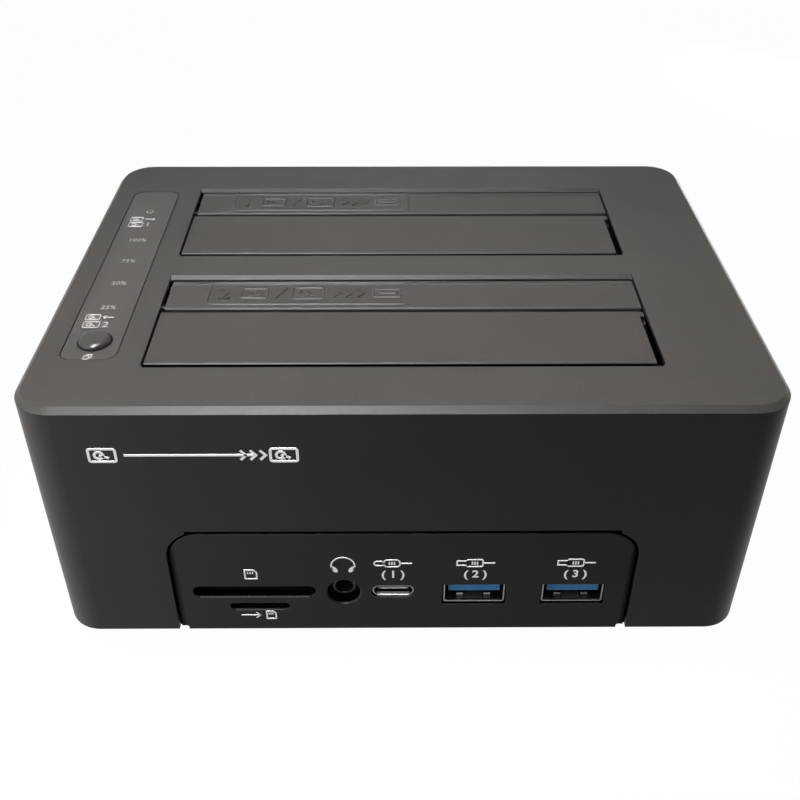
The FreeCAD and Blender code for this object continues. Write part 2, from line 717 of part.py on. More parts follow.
def drive_socket(middle):
    y = socket_y(middle)
    top = BOARD_TOP + SOCKET_HEIGHT
    half = SOCKET_LENGTH / 2
    reach = SOCKET_WIDTH / 2
    body = prism(rectangle((SOCKET_X - half, SOCKET_X + half), (y - reach, y + reach)), "xy", BOARD_TOP, top)
    pieces = [body]
    for side in (-1, 1):
        near = SOCKET_X + side * (half - JOIN)
        far = SOCKET_X + side * (half + SOCKET_POST)
        high = top + SOCKET_POST_RISE
        post = [(near, BOARD_TOP, 0), (far, BOARD_TOP, 0), (far, high - SOCKET_POST, 0), (near, high, 0)]
        pieces.append(prism(post, "xz", y - reach + 0.8, y + reach - 0.8))
    for at in socket_pegs(middle):
        pieces.append(prism(centred(at, (SOCKET_PEG, SOCKET_PEG)), "xy", BOARD_UNDER, BOARD_TOP + JOIN))
    body = joined(pieces)
    return without(body, [keyway_cut(start, length, at, top) for start, length, at in keyways(y)])


def drive_contacts(middle):
    """The strips on the rear wall of the two keyways."""
    (data_start, data_length, y), (power_start, power_length, _) = keyways(socket_y(middle))
    top = BOARD_TOP + SOCKET_HEIGHT
    wall = y + KEY_WIDTH / 2
    depth = (top - KEY_DEPTH, top - 0.8)
    for start, length, count in (
        (data_start, data_length, DATA_CONTACTS),
        (power_start, power_length, POWER_CONTACTS),
    ):
        first = start + length / 2 - CONTACT_PITCH * (count - 1) / 2
        for i in range(count):
            x = first + i * CONTACT_PITCH
            limits = (x - CONTACT_WIDTH / 2, x + CONTACT_WIDTH / 2)
            yield block(limits, (wall - CONTACT_THICK, wall), depth)


# Flaps, pins and springs


def hinge_lines():
    """The Y of each flap's hinge."""
    lines = {}
    for name, middle in BAYS.items():
        lines[name + "_small"] = middle + BAY_SPAN / 2 + HINGE_INSET
        lines[name + "_large"] = middle - BAY_SPAN / 2 - HINGE_INSET
    return lines


def swung(corners, hinge_y, toward):
    """Flap outline points, given as (distance from the hinge, height above it, radius)."""
    return [(hinge_y + toward * u, HINGE_Z + w, radius) for u, w, radius in corners]


def rim(reach, w):
    """How far the arc of a flap's free edge reaches from the hinge at a height above it."""
    return math.sqrt(reach ** 2 - w ** 2)


def flap_plate(hinge_y, toward, reach, x):
    """The flat part. Its free edge is an arc about the hinge, so it clears the other flap all the way."""
    def point(u, w):
        return Vector(x[0], hinge_y + toward * u, HINGE_Z + w)

    middle = (FLAP_UNDER + FLAP_TOP) / 2
    free = rim(reach, FLAP_TOP)
    corners = [point(HINGE_EDGE, FLAP_UNDER), point(HINGE_EDGE, FLAP_TOP), point(free, FLAP_TOP)]
    under = point(rim(reach, FLAP_UNDER), FLAP_UNDER)
    edges = [Part.LineSegment(corners[i], corners[i + 1]).toShape() for i in range(2)]
    edges.append(Part.Arc(corners[2], point(rim(reach, middle), middle), under).toShape())
    edges.append(Part.LineSegment(under, corners[0]).toShape())
    plate = Part.Face(Part.Wire(edges)).extrude(Vector(x[1] - x[0], 0, 0))
    plate = plate.makeChamfer(FLAP_BEVEL, top_edge(plate, hinge_y + toward * HINGE_EDGE))
    return plate.makeChamfer(FLAP_BEVEL, top_edge(plate, hinge_y + toward * free))


def top_edge(plate, y):
    """The long edge of a flap's top face at this Y."""
    z = HINGE_Z + FLAP_TOP
    near = edges_between(plate, (-LENGTH, y - NEAR, z - NEAR), (LENGTH, y + NEAR, z + NEAR))
    return [edge for edge in near if edge.Length > BAY_HALF]


def flap_bead(hinge_y, toward, x):
    """The low ridge along the hinge edge of a small flap."""
    start = HINGE_EDGE + BEAD_INSET
    root = FLAP_TOP - JOIN
    slope = JOIN / BEAD_RISE * BEAD_WIDTH / 2
    corners = [(start - slope, root, 0), (start + BEAD_WIDTH / 2, FLAP_TOP + BEAD_RISE, 0)]
    corners.append((start + BEAD_WIDTH + slope, root, 0))
    return prism(swung(corners, hinge_y, toward), "yz", *x)


def flap_neck(hinge_y, toward, x):
    """The curved web that joins the plate to its hinge barrel below the roof."""
    outer = HINGE_EDGE + NECK
    corners = [
        (HINGE_EDGE, FLAP_UNDER + JOIN, 0),
        (outer, FLAP_UNDER + JOIN, 0),
        (outer, -BARREL_R * 0.75, BARREL_R),
        (0.0, -BARREL_R, 0),
        (0.0, BARREL_R * 0.5, 0),
        (HINGE_EDGE, BARREL_R * 0.5, 0),
    ]
    return prism(swung(corners, hinge_y, toward), "yz", *x)


def flap_ears(hinge_y, toward, reach, x):
    """Stops at the free corners: each foot reaches under the rim of the housing."""
    start = rim(reach, FLAP_TOP) - EAR_START - EAR_LENGTH
    y = sorted((hinge_y + toward * start, hinge_y + toward * (start + EAR_LENGTH)))
    high = ROOF_UNDER - SWING
    for side, edge in ((-1, x[0]), (1, x[1])):
        room = side * (BAY_HALF - NARROW_END)
        outer = edge if abs(room) - abs(edge) < NEAR else edge + side * EAR_WIDTH
        tip = side * (BAY_HALF + EAR_OVERLAP)
        inner = edge - side * EAR_WIDTH
        yield block(sorted((inner, outer)), y, (high - EAR_THICK, HINGE_Z + FLAP_TOP - PIN_RUN))
        yield block(sorted((inner, tip)), y, (high - EAR_THICK, high))


def flap(name, toward, reach, ends):
    """One flap; ends are the gaps at its left and right, and the spring sits at the wider one."""
    hinge_y = hinge_lines()[name]
    x = (-BAY_HALF + ends[0], BAY_HALF - ends[1])
    barrel = [-CARRIER_HALF + SWING, CARRIER_HALF - SWING]
    spring_side = -1 if ends[0] > ends[1] else 1
    if spring_side < 0:
        barrel[0] += SPRING_ROOM
        relief = (-CARRIER_HALF, barrel[0])
    else:
        barrel[1] -= SPRING_ROOM
        relief = (barrel[1], CARRIER_HALF)
    pieces = [flap_plate(hinge_y, toward, reach, x), flap_neck(hinge_y, toward, x)]
    pieces.append(rod(BARREL_R, (barrel[0], hinge_y, HINGE_Z), (barrel[1], hinge_y, HINGE_Z)))
    rib = [(HINGE_EDGE + NECK - JOIN, 0.0), (reach - RIB_SHORT, 0.0)]
    for i in range(RIB_COUNT):
        middle = (i - (RIB_COUNT - 1) / 2) * (BAY_HALF - RIB_MARGIN) * 2 / (RIB_COUNT - 1)
        y = sorted((hinge_y + toward * rib[0][0], hinge_y + toward * rib[1][0]))
        z = (HINGE_Z + FLAP_UNDER - RIB_HEIGHT, HINGE_Z + FLAP_UNDER + JOIN)
        pieces.append(block((middle - RIB_WIDTH / 2, middle + RIB_WIDTH / 2), y, z))
    pieces.extend(flap_ears(hinge_y, toward, reach, x))
    if reach == SMALL_REACH:
        pieces.append(flap_bead(hinge_y, toward, x))
    body = joined(pieces)
    cuts = [rod(PIN_R + PIN_RUN, (-LENGTH / 2, hinge_y, HINGE_Z), (LENGTH / 2, hinge_y, HINGE_Z))]
    around = SPRING_R + SPRING_WIRE + SPRING_RELIEF
    cuts.append(rod(around, (relief[0], hinge_y, HINGE_Z), (relief[1], hinge_y, HINGE_Z)))
    leg_x = spring_leg_x(spring_side)
    room = SPRING_WIRE + SPRING_RELIEF / 2
    y = sorted((hinge_y, hinge_y + toward * (HINGE_EDGE + NECK + PAST)))
    cuts.append(block((leg_x - room, leg_x + room), y, (HINGE_Z + SPRING_R - room, HINGE_Z + FLAP_UNDER)))
    return without(body, cuts)


def hinge_pin(name):
    y = hinge_lines()[name]
    return rod(PIN_R, (-CARRIER_OUTER, y, HINGE_Z), (CARRIER_OUTER, y, HINGE_Z))


def spring_leg_x(side):
    """Where the moving leg leaves the coil, next to the barrel."""
    return side * (CARRIER_HALF - SWING - SPRING_ROOM + SWING + SPRING_WIRE)


def spring_sections():
    """Square wire sections, from the tip of the moving leg round the coil to the tip of the fixed leg."""
    half = SPRING_WIRE
    sections = []
    for i in range(SPRING_STEPS * SPRING_TURNS + SPRING_STEPS // 4 + 1):
        angle = 2 * math.pi * i / SPRING_STEPS
        outward = Vector(math.cos(angle), math.sin(angle), 0)
        rise = SPRING_PITCH * i / SPRING_STEPS
        corners = ((-half, -half), (half, -half), (half, half), (-half, half))
        sections.append([outward * (SPRING_R + a) + Vector(0, 0, rise + b) for a, b in corners])
    ahead = Vector(-math.sin(angle), math.cos(angle), 0)
    tip = [point - Vector(0, SPRING_LEG, 0) for point in sections[0]]
    tail = [point + ahead * SPRING_LEG for point in sections[-1]]
    return [tip] + sections + [tail]


def flap_spring(name, toward, side):
    """A torsion spring on the pin: one leg under the flap, the other down the wall of the well."""
    sections = spring_sections()
    faces = [sections[0], sections[-1]]
    for near, far in zip(sections, sections[1:]):
        for i in range(4):
            j = (i + 1) % 4
            faces.append([near[i], near[j], far[j]])
            faces.append([near[i], far[j], far[i]])
    shell = Part.makeShell([Part.Face(Part.makePolygon(points + points[:1])) for points in faces])
    spring = Part.makeSolid(shell)
    # The coil's X goes up, its Y away from the free edge and its Z towards the side wall.
    turn = FreeCAD.Rotation(Vector(0, 0, 1), Vector(0, -toward, 0), Vector(side, 0, 0), "ZXY")
    spring.Placement = FreeCAD.Placement(Vector(spring_leg_x(side), hinge_lines()[name], HINGE_Z), turn)
    return spring


# Front and rear sockets


def type_a_shell(x):
    """The folded metal shell, with two contact fingers pressed up from its floor."""
    y = (FRONT + TYPE_A_SUNK, FRONT + TYPE_A_SUNK + TYPE_A_DEPTH)
    middle = (x, TYPE_A_Z)
    shell = prism(centred(middle, TYPE_A, TYPE_A_FOLD_R), "xz", *y)
    inner = centred(middle, TYPE_A, 0, -TYPE_A_WALL)
    shell = shell.cut(prism(inner, "xz", y[0] - PAST, y[1] - TYPE_A_WALL))
    floor = TYPE_A_Z - TYPE_A[1] / 2 + TYPE_A_WALL
    low = floor - JOIN
    start, crest, end = (y[0] + run for run in FINGER_RUN)
    corners = [(start, low, 0), (end, low, 0), (crest, floor + FINGER_RISE, 0)]
    fingers = []
    for side in (-1, 1):
        at = x + side * FINGER_X
        fingers.append(prism(corners, "yz", at - FINGER_WIDTH / 2, at + FINGER_WIDTH / 2))
    return joined([shell] + fingers)


def type_a_tongue(x):
    """The insulator that fills the back of the shell, with its tongue."""
    y = (FRONT + TYPE_A_SUNK, FRONT + TYPE_A_SUNK + TYPE_A_DEPTH - TYPE_A_WALL)
    top = TYPE_A_Z + TYPE_A[1] / 2 - TYPE_A_WALL - TYPE_A_TONGUE_DROP
    tongue = rectangle((x - TYPE_A_TONGUE[0] / 2, x + TYPE_A_TONGUE[0] / 2), (top - TYPE_A_TONGUE[1], top))
    tongue = prism(tongue, "xz", y[0] + TYPE_A_TONGUE_SUNK, y[1])
    back = prism(centred((x, TYPE_A_Z), TYPE_A, 0, -TYPE_A_WALL - PIN_FIT), "xz", y[1] - TYPE_A_BACK, y[1])
    return joined([tongue, back])


def type_a_contacts():
    """Four flat blades under each tongue."""
    width, length, thick = TYPE_A_CONTACT
    top = TYPE_A_Z + TYPE_A[1] / 2 - TYPE_A_WALL - TYPE_A_TONGUE_DROP - TYPE_A_TONGUE[1]
    start = FRONT + TYPE_A_SUNK + TYPE_A_CONTACT_SUNK
    for x in TYPE_A_X:
        for offset in TYPE_A_CONTACTS:
            at = x + offset
            yield block((at - width / 2, at + width / 2), (start, start + length), (top - thick, top))


def type_c_shell():
    y = (FRONT + TYPE_C_SUNK, FRONT + TYPE_C_SUNK + TYPE_C_DEPTH)
    middle = (TYPE_C_X, TYPE_C_Z)
    shell = prism(centred(middle, TYPE_C, TYPE_C[1] / 2), "xz", *y)
    inner = centred(middle, TYPE_C, TYPE_C[1] / 2 - TYPE_C_WALL, -TYPE_C_WALL)
    shell = shell.cut(prism(inner, "xz", y[0] - PAST, y[1] - TYPE_C_WALL))
    low = TYPE_C_Z - TYPE_C[1] / 2 + JOIN
    tabs = []
    for side in (-1, 1):
        at = TYPE_C_X + side * TYPE_C[0] / 4
        x = (at - TYPE_C_TAB[0] / 2, at + TYPE_C_TAB[0] / 2)
        end = y[1] - TYPE_C_TAB_INSET
        tabs.append(block(x, (end - TYPE_C_TAB[1], end), (BOARD_TOP, low)))
    return joined([shell] + tabs)


def type_c_tongue():
    start = FRONT + TYPE_C_SUNK
    y = (start + TYPE_C_TONGUE_SUNK, start + TYPE_C_DEPTH - TYPE_C_WALL)
    middle = (TYPE_C_X, TYPE_C_Z)
    tongue = prism(centred(middle, TYPE_C_TONGUE), "xz", *y)
    back = centred(middle, TYPE_C, TYPE_C[1] / 2 - TYPE_C_WALL - PIN_FIT, -TYPE_C_WALL - PIN_FIT)
    return joined([tongue, prism(back, "xz", y[1] - TYPE_C_BACK, y[1])])


def audio_jack():
    """A socket for a 3.5 mm plug, mid-mounted, with a round nose at the back of the panel's well."""
    start = FRONT + JACK_SUNK
    behind = FRONT + WALL + FIT
    nose = rod(JACK_RING_R, (JACK_X, start, JACK_Z), (JACK_X, behind + JOIN, JACK_Z))
    rim_edges = edges_between(nose, (-LENGTH, start - NEAR, 0), (LENGTH, start + NEAR, TOP))
    nose = nose.makeChamfer(JACK_BEVEL, rim_edges)
    body = prism(centred((JACK_X, JACK_Z), JACK_BODY), "xz", behind, start + JACK_LENGTH)
    jack = joined([nose, body])
    return jack.cut(rod(JACK_BORE_R, (JACK_X, start - PAST, JACK_Z), (JACK_X, start + JACK_DEPTH, JACK_Z)))


def folded_socket(middle, size, mouth, depth, seat):
    """A card socket: a sheet-metal cover over a tray, open at the front."""
    start = FRONT + PANEL_THICK + FIT
    body = prism(centred(middle, size), "xz", start, start + depth)
    cavity = centred(middle, mouth)
    body = body.cut(prism(cavity, "xz", start - PAST, start + depth - CARD_WALL))
    low, high = sorted((seat, middle[1]))
    feet = []
    for side in (-1, 1):
        at = middle[0] + side * (size[0] / 2 - 0.3)
        feet.append(block((at - 0.3, at + 0.3), (start + depth / 3, start + depth / 3 + 2.5), (low, high)))
    return joined([body] + feet)


def type_b_outline(grow):
    """The B socket's outline: a square with a narrower upper part."""
    x = TYPE_B[0] / 2 + grow
    low = REAR_PORT_Z - TYPE_B[1] / 2 - grow
    high = REAR_PORT_Z + TYPE_B[1] / 2 + grow
    step_x, step_z = TYPE_B_SHOULDER
    shape = [(-x, low), (x, low), (x, high - step_z), (x - step_x, high - step_z + step_x)]
    shape += [(x - step_x, high), (step_x - x, high)]
    shape += [(step_x - x, high - step_z + step_x), (-x, high - step_z)]
    return [(TYPE_B_X + u, v, 0) for u, v in shape]


def type_b_shell():
    y = (BACK - PORT_SUNK - TYPE_B_DEPTH, BACK - PORT_SUNK)
    shell = prism(type_b_outline(0), "xz", *y)
    return shell.cut(prism(type_b_outline(-TYPE_B_WALL), "xz", y[0] + TYPE_B_WALL, y[1] + PAST))


def type_b_tongue():
    y = (BACK - PORT_SUNK - TYPE_B_DEPTH + TYPE_B_WALL, BACK - PORT_SUNK - TYPE_B_TONGUE_SUNK)
    tongue = prism(centred((TYPE_B_X, REAR_PORT_Z - TYPE_B_TONGUE_DROP), TYPE_B_TONGUE), "xz", *y)
    bar = prism(centred((TYPE_B_X, REAR_PORT_Z + TYPE_B_BAR_RISE), TYPE_B_BAR), "xz", *y)
    back = prism(type_b_outline(-TYPE_B_WALL - PIN_FIT), "xz", y[0], y[0] + TYPE_B_BACK)
    return joined([tongue, bar, back])


def power_jack():
    y = (BACK - PORT_SUNK - POWER_DEPTH, BACK - PORT_SUNK)
    body = prism(centred((POWER_X, REAR_PORT_Z), POWER_BODY), "xz", *y)
    mouth = (POWER_X, y[1] + PAST, REAR_PORT_Z)
    return body.cut(rod(POWER_BORE_R, (POWER_X, y[1] - POWER_BORE_DEPTH, REAR_PORT_Z), mouth))


def power_jack_pin():
    start = BACK - PORT_SUNK - POWER_BORE_DEPTH
    end = start + POWER_BORE_DEPTH - POWER_PIN_SUNK
    pin = rod(POWER_PIN_R, (POWER_X, start, REAR_PORT_Z), (POWER_X, end, REAR_PORT_Z))
    tip = edges_between(pin, (0, start + PAST, 0), (LENGTH, BACK, TOP))
    return pin.makeChamfer(0.3, [edge for edge in tip if edge.Closed])


def switch_frame():
    """The bezel and can of the power switch; two small bosses carry the rocker."""
    middle = (SWITCH_X, SWITCH_Z)
    bezel = prism(centred(middle, SWITCH_BEZEL, 1.0), "xz", BACK, BACK + SWITCH_BEZEL_THICK)
    body = prism(centred(middle, SWITCH_BODY), "xz", BACK - SWITCH_DEPTH, BACK + JOIN)
    well = centred(middle, (ROCKER_HALF_X * 2, ROCKER_R * 2), 0, SWING)
    dip = ROCKER_BACK + ROCKER_R * math.sin(math.radians(ROCKER_TILT)) + SWING
    floor = BACK - ROCKER_PIVOT - dip
    frame = joined([bezel, body]).cut(prism(well, "xz", floor, BACK + SWITCH_BEZEL_THICK + PAST))
    pivot = (BACK - ROCKER_PIVOT, SWITCH_Z)
    bore = ROCKER_HALF_X + SWING + 0.8
    return frame.cut(rod(ROCKER_PIN_R + PIN_RUN, (SWITCH_X - bore, *pivot), (SWITCH_X + bore, *pivot)))


def power_rocker():
    """A rocker with two flat faces that meet at a shallow crest, shown with its lower half pressed."""
    pivot = Vector(SWITCH_X, BACK - ROCKER_PIVOT, SWITCH_Z)
    x = (SWITCH_X - ROCKER_HALF_X, SWITCH_X + ROCKER_HALF_X)
    disc = rod(ROCKER_R, (x[0], pivot.y, pivot.z), (x[1], pivot.y, pivot.z))
    rise = ROCKER_R * math.tan(math.radians(ROCKER_TILT))
    faces = [
        (pivot.y - ROCKER_BACK, pivot.z - ROCKER_R, 0),
        (pivot.y + ROCKER_CREST + rise, pivot.z - ROCKER_R, 0),
        (pivot.y + ROCKER_CREST, pivot.z, 0),
        (pivot.y + ROCKER_CREST + rise, pivot.z + ROCKER_R, 0),
        (pivot.y - ROCKER_BACK, pivot.z + ROCKER_R, 0),
    ]
    body = disc.common(prism(faces, "yz", *x))
    reach = ROCKER_HALF_X + SWING + 0.6
    axle = rod(ROCKER_PIN_R, (SWITCH_X - reach, pivot.y, pivot.z), (SWITCH_X + reach, pivot.y, pivot.z))
    body = joined([body, axle])
    body.rotate(pivot, Vector(1, 0, 0), -ROCKER_TILT)
    return body


# Status strip, lights and button


def status_panel():
    x = (STRIP_X[0] + STRIP_SEAM, STRIP_X[1] - STRIP_SEAM)
    y = (STRIP_Y[0] + STRIP_SEAM, STRIP_Y[1] - STRIP_SEAM)
    panel = prism(rectangle(x, y, STRIP_R - STRIP_SEAM), "xy", STRIP_FLOOR, STRIP_FLOOR + STRIP_THICK)
    return panel.cut(upright(BUTTON_R + SWING, (BUTTON_X, BUTTON_Y), (STRIP_FLOOR - PAST, TOP)))


def light_guide():
    """A clear bar on the underside of the roof, with a pip up to the panel and a leg down to each light."""
    half = GUIDE_BAR[0] / 2
    low = ROOF_UNDER - GUIDE_BAR[1]
    y = (min(LED_ROWS) - 1.4, max(LED_ROWS) + 1.4)
    pieces = [block((LED_X - half, LED_X + half), y, (low, ROOF_UNDER))]
    for row in LED_ROWS:
        foot = INDICATOR_TOP + LED[2] + SWING
        pieces.append(prism(centred((LED_X, row), LED[:2]), "xy", foot, STRIP_FLOOR - PIN_RUN))
    return joined(pieces)


def indicator_board():
    z = (INDICATOR_TOP - INDICATOR_THICK, INDICATOR_TOP)
    board = prism(rectangle(INDICATOR_X, INDICATOR_Y), "xy", *z)
    stakes = [centred((LED_X, y), (STAKE, STAKE), 0, PIN_RUN) for y in INDICATOR_POST_Y]
    return without(board, [prism(stake, "xy", z[0] - PAST, z[1] + PAST) for stake in stakes])


def indicator_leds():
    for row in LED_ROWS:
        yield prism(centred((LED_X, row), LED[:2]), "xy", INDICATOR_TOP, INDICATOR_TOP + LED[2])


def clone_button():
    """A turned cap: rounded top, retaining flange under the roof, stem down to the switch."""
    top = TOP + BUTTON_PROUD
    flange = ROOF_UNDER - SWING
    foot = INDICATOR_TOP + KEY_SWITCH_HEIGHT + PLUNGER_RISE
    radii = [(0, top)]
    for i in range(BUTTON_FLATS + 1):
        angle = math.pi / 2 * i / BUTTON_FLATS
        drop = BUTTON_CROWN + BUTTON_ROUND * (1 - math.cos(angle))
        radii.append((BUTTON_R - BUTTON_ROUND * (1 - math.sin(angle)), top - drop))
    radii += [(BUTTON_R, flange), (BUTTON_FLANGE_R, flange), (BUTTON_FLANGE_R, flange - BUTTON_FLANGE)]
    radii += [(BUTTON_STEM_R, flange - BUTTON_FLANGE), (BUTTON_STEM_R, foot), (0, foot), (0, top)]
    profile = Part.Face(Part.makePolygon([Vector(r, 0, z) for r, z in radii]))
    button = profile.revolve(Vector(0, 0, 0), Vector(0, 0, 1), 360)
    button.translate(Vector(BUTTON_X, BUTTON_Y, 0))
    return button


def switch_plunger():
    top = INDICATOR_TOP + KEY_SWITCH_HEIGHT + PLUNGER_RISE
    low = INDICATOR_TOP + KEY_SWITCH_HEIGHT - PLUNGER_POCKET + BUTTON_TRAVEL + 0.1
    return upright(PLUNGER_R, (BUTTON_X, BUTTON_Y), (low, top))


def button_switch():
    top = INDICATOR_TOP + KEY_SWITCH_HEIGHT
    body = prism(centred((BUTTON_X, BUTTON_Y), (KEY_SWITCH, KEY_SWITCH)), "xy", INDICATOR_TOP, top)
    return body.cut(upright(PLUNGER_R + SWING / 2, (BUTTON_X, BUTTON_Y), (top - PLUNGER_POCKET, top + PAST)))


def ribbon_sockets():
    low = BOARD_TOP
    high = INDICATOR_TOP - INDICATOR_THICK
    size = RIBBON_PLUG[:2]
    yield prism(centred((RIBBON_LOW_X, RIBBON_Y), size), "xy", low, low + RIBBON_PLUG[2])
    yield prism(centred((RIBBON_HIGH_X, RIBBON_Y), size), "xy", high - RIBBON_PLUG[2], high)


def ribbon_cable():
    """A flat cable between the two boards, with an S-bend across to the upper socket."""
    low = BOARD_TOP + RIBBON_PLUG[2]
    high = INDICATOR_TOP - INDICATOR_THICK - RIBBON_PLUG[2]
    bend = (low + high) / 2
    rise = RIBBON_R * 1.5
    half = RIBBON_THICK / 2
    route = [(RIBBON_LOW_X, low, 0), (RIBBON_LOW_X, bend - rise, RIBBON_R)]
    route += [(RIBBON_HIGH_X, bend + rise, RIBBON_R), (RIBBON_HIGH_X, high, 0)]
    left = [(x - half, z, r) for x, z, r in route]
    right = [(x + half, z, r) for x, z, r in reversed(route)]
    return prism(left + right, "xz", RIBBON_Y - RIBBON_WIDTH / 2, RIBBON_Y + RIBBON_WIDTH / 2)


FLAPS = {
    "small": (-1, SMALL_REACH, (WIDE_END_SMALL, NARROW_END)),
    "large": (1, LARGE_REACH, (NARROW_END, WIDE_END_LARGE)),
}


def write_housing():
    save("top_shell", top_shell())
    save("bottom_cover", bottom_cover())
    save("front_port_panel", front_port_panel())
    save("rear_port_panel", rear_port_panel())
    save("bay_carrier", bay_carrier())
    save("rubber_feet", list(rubber_feet()))
    save("case_screws", list(case_screws()))


def write_bays():
    for bay, middle in BAYS.items():
        save("drive_socket_" + bay, drive_socket(middle))
        save("drive_contacts_" + bay, list(drive_contacts(middle)))
        for size, (toward, reach, ends) in FLAPS.items():
            name = bay + "_" + size
            save(name + "_flap", flap(name, toward, reach, ends))
            save(name + "_pin", hinge_pin(name))
            save(name + "_spring", flap_spring(name, toward, -1 if ends[0] > ends[1] else 1))


def write_ports():
    for side, x in zip(("left", "right"), TYPE_A_X):
        save("type_a_shell_" + side, type_a_shell(x))
        save("type_a_tongue_" + side, type_a_tongue(x))
    save("type_a_contacts", list(type_a_contacts()))
    save("type_c_shell", type_c_shell())
    save("type_c_tongue", type_c_tongue())
    save("audio_jack", audio_jack())
    save("card_socket", folded_socket((CARD_X, CARD_Z), CARD_SOCKET, CARD_MOUTH, CARD_DEPTH, BOARD_TOP))
    micro = folded_socket((MICRO_X, MICRO_Z), MICRO_SOCKET, MICRO_MOUTH, MICRO_DEPTH, BOARD_UNDER)
    save("micro_card_socket", micro)
    save("type_b_shell", type_b_shell())
    save("type_b_tongue", type_b_tongue())
    save("power_jack", power_jack())
    save("power_jack_pin", power_jack_pin())
    save("switch_frame", switch_frame())
    save("power_rocker", power_rocker())


def write_electronics():
    save("main_board", main_board())
    save("chips", list(chips()))
    save("capacitors", list(capacitors()))
    save("status_panel", status_panel())
    save("light_guide", light_guide())
    save("indicator_board", indicator_board())
    save("indicator_leds", list(indicator_leds()))
    save("clone_button", clone_button())
    save("switch_plunger", switch_plunger())
    save("button_switch", button_switch())
    save("ribbon_sockets", list(ribbon_sockets()))
    save("ribbon_cable", ribbon_cable())


os.makedirs("parts", exist_ok=True)
write_housing()
write_bays()
write_ports()
write_electronics()
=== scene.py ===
"""Dresses the drive duplicator: finishes for every node, printed and raised signs, and the studio."""
import math

import bmesh
import bpy
from bpy.props import FloatProperty, FloatVectorProperty, IntProperty, PointerProperty
from mathutils import Matrix, Vector
from mathutils.bvhtree import BVHTree


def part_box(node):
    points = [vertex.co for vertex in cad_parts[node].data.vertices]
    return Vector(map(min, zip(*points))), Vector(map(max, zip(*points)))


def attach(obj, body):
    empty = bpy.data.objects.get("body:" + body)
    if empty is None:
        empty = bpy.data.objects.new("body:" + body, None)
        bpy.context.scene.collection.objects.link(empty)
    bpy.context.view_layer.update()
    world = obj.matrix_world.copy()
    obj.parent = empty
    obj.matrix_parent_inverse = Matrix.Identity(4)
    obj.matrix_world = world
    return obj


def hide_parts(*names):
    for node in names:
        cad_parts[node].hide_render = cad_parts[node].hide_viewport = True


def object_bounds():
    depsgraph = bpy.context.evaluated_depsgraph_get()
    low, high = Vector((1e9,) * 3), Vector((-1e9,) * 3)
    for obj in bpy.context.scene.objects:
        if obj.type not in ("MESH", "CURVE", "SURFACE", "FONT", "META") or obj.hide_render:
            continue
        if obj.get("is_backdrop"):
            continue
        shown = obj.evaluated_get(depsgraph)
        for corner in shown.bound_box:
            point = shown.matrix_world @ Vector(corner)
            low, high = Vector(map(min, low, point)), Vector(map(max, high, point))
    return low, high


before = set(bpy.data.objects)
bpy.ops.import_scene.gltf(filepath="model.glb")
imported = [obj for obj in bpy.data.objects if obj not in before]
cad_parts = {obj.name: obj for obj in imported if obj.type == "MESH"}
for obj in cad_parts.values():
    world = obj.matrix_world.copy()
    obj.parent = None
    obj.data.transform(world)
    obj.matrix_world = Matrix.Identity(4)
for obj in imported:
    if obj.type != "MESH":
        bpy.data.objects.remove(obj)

bl_info = {
    "name": "Drive duplicator",
    "version": (1, 0, 0),
    "blender": (4, 5, 0),
    "location": "View3D > Sidebar > Duplicator",
    "description": "Finishes the drive duplicator's parts, adds its signs and sets up the studio",
    "category": "Object",
}

MM = 0.001
RIGHT = Vector((1, 0, 0))
BACK = Vector((0, 1, 0))
UP = Vector((0, 0, 1))
CAD_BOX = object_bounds()


# Sizes and colours


class HousingFinish(bpy.types.PropertyGroup):
    """Moulded parts that are seen from outside."""

    shell: FloatVectorProperty(
        name="Shell", description="Colour of the shell and the port panels",
        subtype="COLOR", min=0.0, max=1.0, default=(0.079, 0.0725, 0.067),
    )
    flap: FloatVectorProperty(
        name="Flaps", description="Colour of the bay flaps",
        subtype="COLOR", min=0.0, max=1.0, default=(0.076, 0.069, 0.064),
    )
    strip: FloatVectorProperty(
        name="Strip", description="Colour of the status strip",
        subtype="COLOR", min=0.0, max=1.0, default=(0.083, 0.075, 0.069),
    )
    inside: FloatVectorProperty(
        name="Inside", description="Colour of the bay carrier and the bottom cover",
        subtype="COLOR", min=0.0, max=1.0, default=(0.014, 0.014, 0.014),
    )
    grain: FloatProperty(
        name="Grain", description="Size of the spark-eroded texture",
        unit="LENGTH", default=0.28 * MM,
    )
    grain_depth: FloatProperty(
        name="Grain depth", description="Height of the texture",
        unit="LENGTH", default=0.010 * MM,
    )
    edge: FloatProperty(
        name="Edge", description="Radius that moulded edges are softened by",
        unit="LENGTH", default=0.14 * MM,
    )
    roughness: FloatProperty(
        name="Roughness", description="Roughness of the textured plastic",
        subtype="FACTOR", min=0.0, max=1.0, default=0.40,
    )


